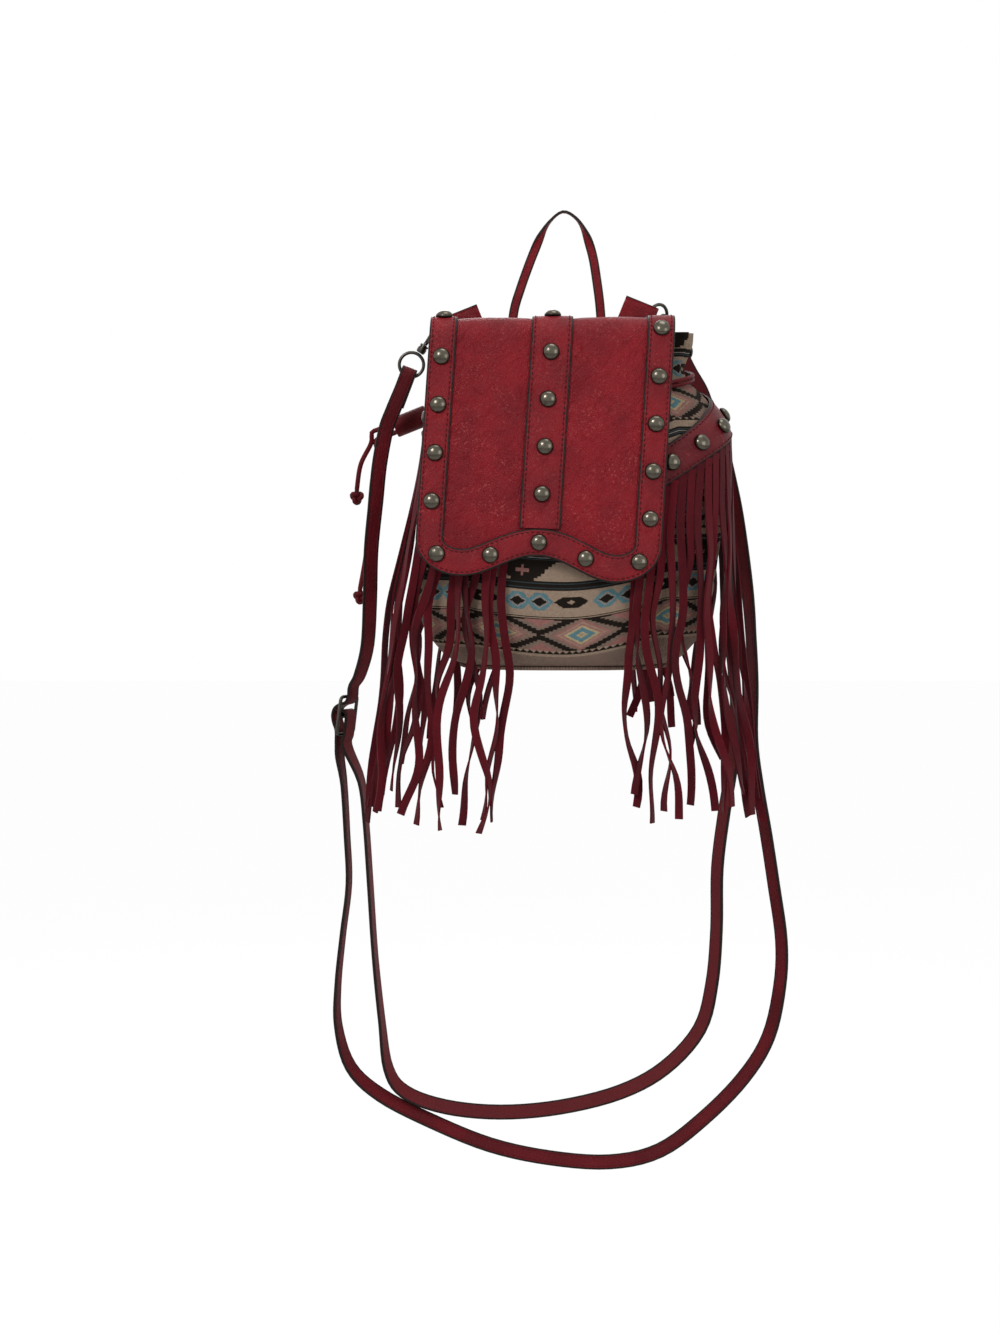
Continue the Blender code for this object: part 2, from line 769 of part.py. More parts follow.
def make_fringe(name, sign, seed, mat):
    """One strip of suede cut into strands below its header."""
    rng = random.Random(seed)
    marks = strand_angles()
    verts = []
    faces = []

    def add(point):
        verts.append(Vector((sign * point.x, point.y, point.z)) + sway(point.z))
        return len(verts) - 1

    inner, outer = BAND_OFFSET, BAND_OFFSET + SUEDE
    grid = []
    for angle in marks:
        edge = band_level(angle) - BAND_HALF_HEIGHT
        top = edge - GAP
        low = edge - HEADER
        grid.append((
            add(upright_point(angle, top, outer)), add(hang_point(angle, top, low, outer)),
            add(upright_point(angle, top, inner)), add(hang_point(angle, top, low, inner))))
    for i, (a, b) in enumerate(zip(grid, grid[1:])):
        faces.append((a[0], a[1], b[1], b[0]))
        faces.append((a[2], b[2], b[3], a[3]))
        faces.append((a[0], b[0], b[2], a[2]))
        if i % 2:
            faces.append((a[1], a[3], b[3], b[1]))
    for end in (grid[0], grid[-1]):
        faces.append((end[0], end[1], end[3], end[2]))
    for i in range(len(marks) // 2):
        left, right = grid[2 * i], grid[2 * i + 1]
        angle = (marks[2 * i] + marks[2 * i + 1]) / 2
        points, width = strand_path(angle, i, rng)
        out = Vector((width.y, -width.x, 0)).normalized()
        last = (left[1], right[1], right[3], left[3])
        for point in points:
            half, thick = width * (STRAND_WIDTH / 2), out * (SUEDE / 2)
            ring = (add(point - half + thick), add(point + half + thick),
                    add(point + half - thick), add(point - half - thick))
            for k in range(4):
                m = (k + 1) % 4
                faces.append((last[k], last[m], ring[m], ring[k]))
            last = ring
        faces.append(last)
    return add_mesh(name, verts, faces, mat)


def curve_point(p0, p1, p2, p3, t):
    """Point at share t of a smooth curve from p1 to p2."""
    a = p1 * 2
    b = (p2 - p0) * t
    c = (p0 * 2 - p1 * 5 + p2 * 4 - p3) * t * t
    d = (p1 * 3 - p0 - p2 * 3 + p3) * t**3
    return (a + b + c + d) / 2


def catmull(points, spacing):
    """Points of a smooth curve through the given ones, an even spacing apart."""
    pts = [Vector(p) for p in points]
    dense = []
    for i in range(len(pts) - 1):
        p0 = pts[max(i - 1, 0)]
        p1, p2 = pts[i], pts[i + 1]
        p3 = pts[min(i + 2, len(pts) - 1)]
        steps = max(2, int((p2 - p1).length / (spacing / 6)))
        for k in range(steps):
            dense.append(curve_point(p0, p1, p2, p3, k / steps))
    dense.append(pts[-1])
    total = sum((b - a).length for a, b in zip(dense, dense[1:]))
    count = max(2, round(total / spacing))
    even = [dense[0]]
    gone, target = 0.0, total / count
    for a, b in zip(dense, dense[1:]):
        step = (b - a).length
        while gone + step >= target and len(even) < count:
            even.append(a.lerp(b, (target - gone) / step))
            target += total / count
        gone += step
    even.append(dense[-1])
    return even


def tube(name, points, radius, mat, resolution=2):
    """Round cord or wire through points, with filled caps."""
    curve = bpy.data.curves.new(name, "CURVE")
    curve.dimensions = "3D"
    curve.bevel_depth = radius
    curve.bevel_resolution = resolution
    curve.use_fill_caps = True
    spline = curve.splines.new("POLY")
    spline.points.add(len(points) - 1)
    for slot, point in zip(spline.points, points):
        slot.co = (*point, 1.0)
    curve.materials.append(mat)
    obj = bpy.data.objects.new(name, curve)
    bpy.context.collection.objects.link(obj)
    return obj


def ring_solid(name, centre, axis, radius, wire, mat, sides=22, around=6):
    """Round ring: centre, axis square to its plane, radius of its wire's centre."""
    turn = Vector((0, 0, 1)).rotation_difference(Vector(axis).normalized())
    verts = []
    faces = []
    for i in range(sides):
        a = 2 * math.pi * i / sides
        for k in range(around):
            b = 2 * math.pi * k / around
            r = radius + wire * math.cos(b)
            point = Vector((r * math.cos(a), r * math.sin(a), wire * math.sin(b)))
            verts.append(Vector(centre) + turn @ point)
    for i in range(sides):
        for k in range(around):
            j, m = (i + 1) % sides, (k + 1) % around
            faces.append((i * around + k, j * around + k, j * around + m, i * around + m))
    return add_mesh(name, verts, faces, mat)


def make_yoke(mat):
    """Leather strip at the top of the back, where the flap, the loop and the tabs are sewn."""
    verts = []
    for y in (BACK_Y + GAP, BACK_Y + GAP + YOKE_THICK):
        for side in (-1, 1):
            u = side * YOKE_HALF
            top = hinge_origin().z + FLAP_RISE * u - YOKE_DROP
            verts.append((FLAP_X + u, y, top))
            verts.append((FLAP_X + u, y, top - YOKE_HEIGHT))
    faces = [(0, 1, 3, 2), (4, 6, 7, 5), (0, 4, 5, 1), (2, 3, 7, 6), (0, 2, 6, 4), (1, 5, 7, 3)]
    return add_mesh("back_yoke", verts, faces, mat, smooth=False)


LOOP_Y = BACK_Y + GAP + YOKE_THICK + GAP + LOOP_THICK / 2
LOOP_SHAPE = [
    (-0.0315, -0.0629), (-0.0275, -0.0489), (-0.0211, -0.0311), (-0.0147, -0.0158), (-0.0085, -0.0055),
    (0.0, 0.0008), (0.0085, -0.0035), (0.0143, -0.0127), (0.0189, -0.0266), (0.0217, -0.0425),
    (0.0240, -0.0604),
]
LOOP_FOOT_Z = -0.083


def make_hang_loop(mat):
    """Thin strap that stands up from the yoke: both feet are sewn on the back."""
    left, right = LOOP_FEET
    route = [(left, LOOP_FOOT_Z)] + LOOP_SHAPE + [(right, LOOP_FOOT_Z)]
    path = catmull([(x, LOOP_Y, z) for x, z in route], 0.0075)
    sections = []
    for i, point in enumerate(path):
        along = (path[min(i + 1, len(path) - 1)] - path[max(i - 1, 0)]).normalized()
        out = along.cross(Vector((0, 1, 0))).normalized() * -1
        apex = smooth_step(1 - abs(point.z) / 0.030)
        width = Vector((0, 1, 0)).lerp(out, 1 - apex).normalized()
        thick = along.cross(width).normalized()
        w, h = width * (LOOP_WIDTH / 2), thick * (LOOP_THICK / 2)
        sections.append((point - w - h, point + w - h, point + w + h, point - w + h))
    return ribbon("hang_loop", sections, mat)


def hardware_frame(sign):
    """Places of one side's tab and ring: directions, the tab's fold and the ring's far wire."""
    outward = Vector((sign * math.cos(TAB_TILT), 0, -math.sin(TAB_TILT)))
    across = Vector((sign * math.sin(TAB_TILT), 0, math.cos(TAB_TILT)))
    x, z = TAB_LEFT if sign < 0 else TAB_RIGHT
    fold = Vector((x, LOOP_Y + LOOP_THICK / 2 + TAB_STANDOFF, z)) + outward * TAB_REACH
    reach = outward * math.cos(RING_LEAN) + Vector((0, 1, 0)) * math.sin(RING_LEAN)
    return outward, across, fold, reach, fold + reach * RING_R, fold + reach * 2 * RING_R


def eye_centre(sign):
    """Centre of the eye that the strap runs through, at the end of the hook."""
    aim = AIM_LEFT if sign < 0 else AIM_RIGHT
    return hardware_frame(sign)[5] + aim.normalized() * HOOK_REACH


def eye_facing(sign):
    """Way square to the plane of the eye, as near to straight back as its hook allows."""
    axis = (AIM_LEFT if sign < 0 else AIM_RIGHT).normalized()
    depth = Vector((0, 1, 0))
    return (depth - axis * depth.dot(axis)).normalized()


def make_tab(side, sign, mat):
    """Leather tab sewn on the yoke, tapered and folded round the ring's wire."""
    outward, across, fold, reach, _, _ = hardware_frame(sign)
    back = Vector((0, 1, 0))
    bend = TAB_BEND + TAB_THICK / 2
    middle = fold + reach * (TAB_BEND - RING_WIRE - LAYER_GAP)
    tail = fold - outward * TAB_LENGTH - across * TAB_SINK
    front_y = BACK_Y + GAP + YOKE_THICK + GAP + TAB_THICK / 2
    back_y = front_y + TAB_THICK + GAP
    path = [(Vector((tail.x, front_y, tail.z)), -back, TAB_TAIL)]
    for k in range(9):
        turn = math.pi * k / 8
        out = outward * math.sin(turn) - back * math.cos(turn)
        path.append((middle + out * bend, out, TAB_NOSE))
    path.append((Vector((tail.x, back_y, tail.z)), back, TAB_TAIL))
    sections = []
    for point, out, half_width in path:
        half, h = across * half_width, out * (TAB_THICK / 2)
        sections.append((point - half - h, point + half - h, point + half + h, point - half + h))
    return ribbon(f"tab_{side}", sections, mat)


def make_hook(side, sign, metal):
    """Snap hook on the ring, with its swivel barrel, gate and eye."""
    _, across, _, _, _, far = hardware_frame(sign)
    centre_of_eye = eye_centre(sign)
    axis = (centre_of_eye - far).normalized()
    flat = axis.cross(across).normalized()
    bend = HOOK_BEND_R
    centre = far + axis * (bend - RING_WIRE - HOOK_WIRE - HOOK_PLAY)
    barrel_end = centre_of_eye - axis * (EYE_R + EYE_WIRE + GAP)
    barrel_start = barrel_end - axis * BARREL_LENGTH
    stem = (barrel_start - centre).dot(axis) - GAP
    seat = flat * (BARREL_R - HOOK_WIRE)
    route = [centre + axis * stem - seat, centre + axis * stem * HOOK_NECK - seat]
    route.append(centre + axis * stem * HOOK_SHOULDER - flat * bend)
    for k in range(9):
        turn = math.pi * k / 8
        route.append(centre - axis * bend * math.sin(turn) - flat * bend * math.cos(turn))
    route.append(centre + axis * HOOK_TIP + flat * bend)
    tube(f"hook_{side}", route, HOOK_WIRE, metal, 2)
    disc(f"barrel_{side}", barrel_start, axis, BARREL_R, BARREL_LENGTH, metal, sides=16)
    gate_foot = centre + axis * (stem - GAP) + flat * (BARREL_R - GATE_WIRE)
    gate_tip = centre + axis * (HOOK_TIP + GAP) + flat * bend
    gate = gate_tip - gate_foot
    disc(f"gate_{side}", gate_foot + gate.normalized() * GAP, gate.normalized(), GATE_WIRE,
         gate.length - 2 * GAP, metal, gate_foot, sides=10)
    ring_solid(f"eye_{side}", centre_of_eye, eye_facing(sign), EYE_R, EYE_WIRE, metal)


def make_d_ring(side, sign, metal):
    _, across, _, reach, centre, _ = hardware_frame(sign)
    return ring_solid(f"ring_{side}", centre, across.cross(reach), RING_R, RING_WIRE, metal)


EYE_FOLD = [
    (0.0045, 0.0206), (0.0045, 0.0086), (0.0040, -0.0004), (0.0028, -0.0035), (0.0, -0.0049),
    (-0.0028, -0.0035), (-0.0040, -0.0004), (-0.0038, 0.0080),
]
OUTER_BOW = [
    (-0.1100, 0.0085, -0.1262, 84),
    (-0.1145, 0.0085, -0.1384, 80), (-0.1188, 0.0090, -0.1611, 76), (-0.1212, 0.0100, -0.1838, 72),
    (-0.1246, 0.0120, -0.2164, 66), (-0.1258, 0.0170, -0.2495, 62), (-0.1280, 0.0260, -0.2797, 54),
    (-0.1335, 0.0345, -0.3000, 44),
]
LOWER_BOW = [
    (-0.1475, 0.0395, -0.3560, 28), (-0.1448, 0.0380, -0.3745, 16),
    (-0.1430, 0.0380, -0.4078, 14), (-0.1418, 0.0370, -0.4412, 14),
    (-0.1457, 0.0330, -0.4747, 14), (-0.1490, 0.0290, -0.5083, 16), (-0.1487, 0.0250, -0.5353, 22),
    (-0.1402, 0.0210, -0.5624, 38), (-0.1203, 0.0180, -0.5807, 56), (-0.0870, 0.0160, -0.5977, 66),
    (-0.0471, 0.0150, -0.6140, 70), (-0.0070, 0.0150, -0.6229, 72), (0.0331, 0.0150, -0.6256, 72),
    (0.0664, 0.0160, -0.6181, 70), (0.0963, 0.0180, -0.5963, 66), (0.1227, 0.0200, -0.5692, 60),
    (0.1391, 0.0220, -0.5421, 52), (0.1467, 0.0250, -0.5083, 46), (0.1478, 0.0280, -0.4781, 44),
    (0.1428, 0.0320, -0.4412, 44), (0.1378, 0.0360, -0.4078, 44), (0.1322, 0.0400, -0.3745, 42),
    (0.1287, 0.0430, -0.3447, 40), (0.1290, 0.0450, -0.3080, 36), (0.1274, 0.0450, -0.2754, 34),
    (0.1245, 0.0450, -0.2426, 44), (0.1175, 0.0440, -0.1969, 56), (0.1110, 0.0430, -0.1676, 66),
    (0.1045, 0.0420, -0.1430, 76), (0.0985, 0.0405, -0.1260, 84),
]
INNER_BOW = [
    (0.0915, 0.0300, -0.1130, -88), (0.0957, 0.0300, -0.1250, -86), (0.0997, 0.0300, -0.1388, -82),
    (0.1030, 0.0300, -0.1584, -74), (0.1055, 0.0310, -0.1800, -64), (0.1080, 0.0320, -0.2100, -54),
    (0.1112, 0.0330, -0.2600, -44), (0.1150, 0.0320, -0.3000, -40), (0.1165, 0.0300, -0.3282, -40),
    (0.1135, 0.0270, -0.3613, -42),
    (0.1085, 0.0240, -0.3912, -44), (0.1040, 0.0210, -0.4278, -44), (0.1035, 0.0180, -0.4680, -44),
    (0.1005, 0.0160, -0.5050, -48), (0.0922, 0.0140, -0.5353, -56), (0.0694, 0.0130, -0.5610, -66),
    (0.0395, 0.0120, -0.5773, -70), (-0.0004, 0.0120, -0.5875, -72), (-0.0404, 0.0120, -0.5909, -72),
    (-0.0770, 0.0130, -0.5875, -66), (-0.1037, 0.0150, -0.5780, -52), (-0.1149, 0.0170, -0.5624, -32),
    (-0.1192, 0.0200, -0.5319, -18), (-0.1238, 0.0240, -0.4881, -14), (-0.1270, 0.0290, -0.4412, -14),
    (-0.1298, 0.0330, -0.4011, -14), (-0.1330, 0.0355, -0.3720, -20),
]
SLIDER_OVER = [
    (-0.0029, -0.0200), (-0.0029, -0.0130), (-0.0008, -0.0088), (0.0042, -0.0066), (0.0080, -0.0034),
    (0.0090, 0.0012), (0.0074, 0.0060), (0.0044, 0.0110), (0.0032, 0.0190),
]
SLIDER_END = [
    (-0.0032, 0.0210), (-0.0031, 0.0130), (-0.0031, 0.0060), (-0.0031, 0.0010), (-0.0023, -0.0021),
    (0.0, -0.0031), (0.0023, -0.0021), (0.0031, 0.0010), (0.0031, 0.0026),
]


def slider_frame():
    """Centre of the slider, the way along its bars, the way down the strap and its face."""
    across = Vector((math.sin(SLIDER_YAW), math.cos(SLIDER_YAW), 0))
    down = Vector((-0.12, 0, -1)).normalized()
    return Vector((SLIDER_X, STRAP_Y, SLIDER_Z)), across, down, across.cross(down).normalized()


def eye_fold(sign):
    """Strap folded over the wire of an eye: rows of way back and way down from the wire."""
    lean = PULL_LEFT if sign < 0 else PULL_RIGHT
    pull = Vector((math.sin(lean), 0, -math.cos(lean)))
    facing = eye_facing(sign)
    wire = eye_centre(sign) + (pull - facing * pull.dot(facing)).normalized() * EYE_R
    return [(wire + Vector((0, back, 0)) + pull * down, math.pi / 2) for back, down in EYE_FOLD]


def strap_route():
    """Places of the whole route with the turn of the strap's width, None inside the slider."""
    centre, _, down, facing = slider_frame()
    route = eye_fold(-1)
    route += [(Vector(row[:3]), math.radians(row[3])) for row in OUTER_BOW]
    route += [(centre + facing * n + down * s, None) for n, s in SLIDER_OVER]
    route += [(Vector(row[:3]), math.radians(row[3])) for row in LOWER_BOW]
    route += eye_fold(1)
    route += [(Vector(row[:3]), math.radians(row[3])) for row in INNER_BOW]
    route += [(centre + facing * n + down * s, None) for n, s in SLIDER_END]
    return route


def strap_widths(places, turns):
    """Width direction of the strap at each place of its route, without a flip between two."""
    depth = Vector((0, 1, 0))
    across = slider_frame()[1]
    widths = []
    side = Vector((-1, 0, 0))
    for i, turn in enumerate(turns):
        along = (places[min(i + 1, len(places) - 1)] - places[max(i - 1, 0)]).normalized()
        if turn is None:
            width = across
        else:
            if along.cross(depth).length > 0.5:
                side = along.cross(depth).normalized()
            width = depth * math.cos(turn) + side * math.sin(turn)
        if widths and width.dot(widths[-1]) < 0:
            width = -width
        widths.append(width)
    return widths


def make_strap(mat):
    """The one shoulder strap: left eye, slider, outer bow, right eye, inner bow, slider bar."""
    route = strap_route()
    places = [place for place, _ in route]
    widths = strap_widths(places, [turn for _, turn in route])
    path = []
    across = []
    for i in range(len(places) - 1):
        p0 = places[max(i - 1, 0)]
        p1, p2 = places[i], places[i + 1]
        p3 = places[min(i + 2, len(places) - 1)]
        steps = 1 if (p2 - p1).length < 0.004 else 2
        for k in range(steps):
            t = k / steps
            path.append(curve_point(p0, p1, p2, p3, t))
            across.append(widths[i].lerp(widths[i + 1], t))
    path.append(places[-1])
    across.append(widths[-1])
    sections = []
    for i, (point, width) in enumerate(zip(path, across)):
        along = (path[min(i + 1, len(path) - 1)] - path[max(i - 1, 0)]).normalized()
        width = (width - along * width.dot(along)).normalized()
        thick = along.cross(width).normalized()
        w, h = width * (STRAP_WIDTH / 2), thick * (STRAP_THICK / 2)
        sections.append((point - w - h, point + w - h, point + w + h, point - w + h))
    return ribbon("shoulder_strap", sections, mat)


def make_slider(mat):
    """Slider frame with its middle bar: the strap runs through both windows."""
    centre, across, down, facing = slider_frame()
    wire = 2 * SLIDER_WIRE
    w, h = SLIDER_HALF_WIDTH, SLIDER_HALF_HEIGHT
    out_w, out_h = w + wire, h + wire
    outline = [(-out_w, -out_h), (out_w, -out_h), (out_w, out_h), (-out_w, out_h)]
    upper = [(-w, -h), (w, -h), (w, -SLIDER_WIRE), (-w, -SLIDER_WIRE)]
    lower = [(-w, SLIDER_WIRE), (w, SLIDER_WIRE), (w, h), (-w, h)]
    flat = [outline, upper, lower]
    verts = []
    for lift in (-SLIDER_WIRE, SLIDER_WIRE):
        for loop in flat:
            for a, b in loop:
                verts.append(centre + across * a + down * b + facing * lift)
    top = 12
    o, u, l = (0, 1, 2, 3), (4, 5, 6, 7), (8, 9, 10, 11)
    sheet = [
        (o[0], o[1], u[1], u[0]), (o[1], l[1], u[2], u[1]), (o[1], o[2], l[2], l[1]),
        (o[2], o[3], l[3], l[2]), (o[3], l[0], l[3]), (o[3], o[0], u[3], l[0]), (o[0], u[0], u[3]),
        (u[3], u[2], l[1], l[0]),
    ]
    faces = []
    for face in sheet:
        faces.append(face)
        faces.append(tuple(top + k for k in reversed(face)))
    for loop in (o, u, l):
        for k in range(4):
            a, b = loop[k], loop[(k + 1) % 4]
            faces.append((a, b, top + b, top + a))
    return add_mesh("slider_buckle", verts, faces, mat, smooth=False)


def neck_cord_point(angle, reach=0.0):
    """Centre of the cord round the neck, or a point a reach outwards of it."""
    front = (1 + math.cos(angle)) / 2
    z = NECK_CORD_Z - NECK_CORD_DIP * front**2
    ripple = max(abs(gather(angle + d, z)) for d in (-0.1, -0.05, 0, 0.05, 0.1))
    return body_point(angle, z, NECK_CORD_STAND + ripple - gather(angle, z) + reach)


def leave_neck(angle, towards):
    """Start of a cord end that leaves the neck cord towards a point, its rim just clear of it."""
    centre = neck_cord_point(angle)
    out = (neck_cord_point(angle, CORD_R) - centre).normalized()
    way = (Vector(towards) - centre).normalized()
    lean = math.sqrt(max(0.0, 1 - out.dot(way) ** 2))
    return centre + out * (CORD_R * (1 + lean) + GAP)


def make_drawstring(mat):
    """Cord round the neck, lying in the gathers just under the ruffle."""
    sides = NECK_CORD_SIDES
    around = 6
    verts = []
    faces = []
    centres = [neck_cord_point(2 * math.pi * i / sides) for i in range(sides)]
    for i, centre in enumerate(centres):
        along = (centres[(i + 1) % sides] - centres[i - 1]).normalized()
        side = along.cross(Vector((0, 0, 1))).normalized()
        up = side.cross(along)
        for k in range(around):
            turn = 2 * math.pi * k / around
            verts.append(centre + side * CORD_R * math.cos(turn) + up * CORD_R * math.sin(turn))
    for i in range(sides):
        for k in range(around):
            j, m = (i + 1) % sides, (k + 1) % around
            faces.append((i * around + k, j * around + k, j * around + m, i * around + m))
    return add_mesh("drawstring", verts, faces, mat)


TOGGLE_SIDE = TOGGLE_AXIS.cross(Vector((0, 0, 1))).normalized().cross(TOGGLE_AXIS).normalized()


def cord_routes():
    """Hand-laid routes of the two free ends, straight through the toggle, to their knots."""
    runs = {}
    for sign in (-1, 1):
        shift = TOGGLE_SIDE * (sign * CORD_SPREAD)
        runs[sign] = [TOGGLE_CENTRE + TOGGLE_AXIS * (TOGGLE_LENGTH * share) + shift
                      for share in (-1.15, -0.9, 0.9, 1.15)]
    long_first = (-0.0590, 0.0100, -0.1075)
    long_way = [leave_neck(LONG_EXIT, long_first), long_first, (-0.0655, 0.0260, -0.1155)]
    long_way += runs[-1]
    long_way += [
        (-0.1215, 0.0400, -0.1540), (-0.1250, 0.0450, -0.1690), (-0.1272, 0.0475, -0.1900),
        (-0.1295, 0.0480, -0.2180), (-0.1340, 0.0480, -0.2440),
    ]
    short_first = (-0.0640, 0.0080, -0.1030)
    short_way = [leave_neck(SHORT_EXIT, short_first), short_first, (-0.0700, 0.0250, -0.1085)]
    short_way += runs[1]
    short_way += [(-0.1255, 0.0345, -0.1470), (-0.1325, 0.0365, -0.1610), (-0.1352, 0.0380, -0.1774)]
    return long_way, short_way


def make_toggle(mat):
    """Leather slide on the drawstring: a short cylinder with a bore for each cord."""
    body = disc("toggle", TOGGLE_CENTRE - TOGGLE_AXIS * (TOGGLE_LENGTH / 2), TOGGLE_AXIS,
                TOGGLE_R, TOGGLE_LENGTH, mat, TOGGLE_CENTRE, sides=24)
    for name, sign in (("bore_long", -1), ("bore_short", 1)):
        start = TOGGLE_CENTRE - TOGGLE_AXIS * TOGGLE_LENGTH + TOGGLE_SIDE * (sign * CORD_SPREAD)
        cutter = disc(name, start, TOGGLE_AXIS, TOGGLE_BORE, 2 * TOGGLE_LENGTH, mat, sides=12)
        cutter.hide_render = True
        cutter.display_type = "WIRE"
        cut = body.modifiers.new(name, "BOOLEAN")
        cut.operation = "DIFFERENCE"
        cut.object = cutter
    return body


def knot(name, centre, mat):
    """Rounded knot at the end of a cord."""
    mesh = bpy.data.meshes.new(name)
    work = bmesh.new()
    bmesh.ops.create_uvsphere(work, u_segments=10, v_segments=6, radius=KNOT_R)
    work.to_mesh(mesh)
    work.free()
    mesh.materials.append(mat)
    mesh.shade_smooth()
    obj = bpy.data.objects.new(name, mesh)
    obj.location = centre
    bpy.context.collection.objects.link(obj)
    return obj


def main():
    clear_scene()
    fabric = material("tapestry", TAPESTRY, 0.85)
    leather = material("red_leather", LEATHER, 0.45)
    suede = material("red_suede", SUEDE_RED, 0.95)
    linen = material("lining_cloth", LINEN, 0.9)
    pewter = material("pewter", PEWTER, 0.3, 1.0)
    gunmetal = material("gunmetal", GUNMETAL, 0.35, 1.0)
    make_body(fabric)
    make_lining(linen)
    make_base(fabric)
    panel = make_flap(leather)
    make_border(leather)
    make_strip(leather)
    dome = dome_mesh(pewter)
    make_flap_studs(dome, panel)
    make_snap(gunmetal)
    make_yoke(leather)
    make_hang_loop(leather)
    for side, sign, seed in (("left", -1, 7), ("right", 1, 19)):
        band = make_band(f"band_{side}", sign, leather)
        make_band_studs(side, sign, dome, band)
        make_fringe(f"fringe_{side}", sign, seed, suede)
        make_tab(side, sign, leather)
        make_d_ring(side, sign, gunmetal)
        make_hook(side, sign, gunmetal)
    make_strap(leather)
    make_slider(gunmetal)
    make_drawstring(leather)
    make_toggle(leather)
    long_way, short_way = cord_routes()
    tube("drawstring_end_long", catmull(long_way, 0.0075), CORD_R, leather)
    tube("drawstring_end_short", catmull(short_way, 0.0075), CORD_R, leather)
    knot("knot_long", Vector(long_way[-1]) + Vector((0, 0, -KNOT_R - GAP)), leather)
    knot("knot_short", Vector(short_way[-1]) + Vector((0, 0, -KNOT_R - GAP)), leather)


main()
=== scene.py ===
# %% [markdown]
# # A fringed drawstring bag, dressed step by step
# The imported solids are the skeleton: they give each piece its place, its size and its joint.
# This lesson keeps them as they are and builds the looks round them: cloth that is gathered, leather
# that is grained, painted and stitched, suede that is cut into strands, and metal that is turned.
# Lengths are metres, +Z is up and the front of the bag faces -Y.

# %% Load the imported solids
import json
import math
import random

import bmesh
import bpy
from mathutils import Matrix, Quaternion, Vector, noise

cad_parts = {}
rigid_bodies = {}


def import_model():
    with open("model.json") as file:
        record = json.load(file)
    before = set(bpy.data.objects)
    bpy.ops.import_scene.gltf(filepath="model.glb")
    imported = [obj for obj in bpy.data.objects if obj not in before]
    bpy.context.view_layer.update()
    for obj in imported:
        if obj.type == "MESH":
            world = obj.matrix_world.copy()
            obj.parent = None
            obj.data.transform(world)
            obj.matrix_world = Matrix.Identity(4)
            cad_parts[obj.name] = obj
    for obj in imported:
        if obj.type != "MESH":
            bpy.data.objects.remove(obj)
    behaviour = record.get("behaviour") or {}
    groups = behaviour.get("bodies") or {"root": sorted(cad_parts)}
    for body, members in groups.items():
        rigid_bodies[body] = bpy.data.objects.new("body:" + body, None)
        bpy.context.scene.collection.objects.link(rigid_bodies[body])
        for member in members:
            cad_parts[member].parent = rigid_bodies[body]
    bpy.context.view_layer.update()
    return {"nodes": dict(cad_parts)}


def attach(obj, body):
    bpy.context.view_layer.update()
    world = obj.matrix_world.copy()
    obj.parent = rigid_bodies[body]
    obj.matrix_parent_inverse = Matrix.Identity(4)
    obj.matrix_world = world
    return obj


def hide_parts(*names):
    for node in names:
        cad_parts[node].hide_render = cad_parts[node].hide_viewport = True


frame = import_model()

# %% [markdown]
# ## Camera, light and floor
# A bag that hangs is looked at from the front, a little from above. A long lens keeps its sides straight.
# The light is a soft studio: a pale sky all round, one broad lamp at the upper left, a weaker one at the
# right and a strip from above. The sky is dimmer as a light than it looks, so that the colours render
# about as they are written and the background is still white.

# %% Camera
camera = bpy.data.objects.new("camera", bpy.data.cameras.new("camera"))
camera.data.lens = 89.86
camera.data.sensor_width = 36.0
camera.data.sensor_fit = "HORIZONTAL"
camera.location = (-0.0404, -1.6192, -0.1501)
camera.rotation_euler = (math.radians(85), 0, 0)
bpy.context.collection.objects.link(camera)
bpy.context.scene.camera = camera
bpy.context.scene.view_settings.view_transform = "Standard"

# %% Node helper
class Board:
    """A node tree with short ways to add nodes and join them."""

    def __init__(self, tree):
        self.tree = tree

    def feed(self, socket, value):
        if isinstance(value, bpy.types.NodeSocket):
            self.tree.links.new(value, socket)
        else:
            socket.default_value = value

    def add(self, kind, sockets=None, **settings):
        node = self.tree.nodes.new(kind)
        for key, value in settings.items():
            setattr(node, key, value)
        for key, value in (sockets or {}).items():
            self.feed(node.inputs[key], value)
        return node

    def calc(self, operation, a, b=0.0, c=0.0, clamp=False):
        node = self.add("ShaderNodeMath", {0: a, 1: b, 2: c}, operation=operation, use_clamp=clamp)
        return node.outputs[0]

    def blend(self, share, a, b, way="MIX"):
        node = self.add("ShaderNodeMix", {0: share, 6: a, 7: b}, data_type="RGBA", blend_type=way)
        return node.outputs[2]

    def fade(self, value, low, high):
        """0 below low, 1 above high and a soft step between."""
        settings = {"Value": value, "From Min": low, "From Max": high}
        return self.add("ShaderNodeMapRange", settings, interpolation_type="SMOOTHSTEP").outputs[0]

    def vector(self, operation, sockets):
        return self.add("ShaderNodeVectorMath", sockets, operation=operation).outputs[0]

    def place(self):
        """Where a point lies on its own object."""
        return self.add("ShaderNodeTexCoord").outputs["Object"]

    def mark(self, name):
        """Number that the mesh carries under this name."""
        return self.add("ShaderNodeAttribute", attribute_name=name).outputs["Fac"]

    def mottle(self, place, scale, detail, distortion=0.0):
        """Soft noise from 0 to 1."""
        sockets = {"Vector": place, "Scale": scale, "Detail": detail, "Distortion": distortion}
        return self.add("ShaderNodeTexNoise", sockets).outputs["Fac"]

    def way_out(self):
        """The way out of the surface that a source carries for its tree."""
        node = self.add("GeometryNodeInputNamedAttribute", {"Name": "out"}, data_type="FLOAT_VECTOR")
        return node.outputs[0]


def paint(red, green, blue):
    """Screen colour, 0 to 255 each, as the light that Blender counts with."""
    parts = [value / 255 for value in (red, green, blue)]
    light = [v / 12.92 if v <= 0.04045 else ((v + 0.055) / 1.055) ** 2.4 for v in parts]
    return (*light, 1.0)


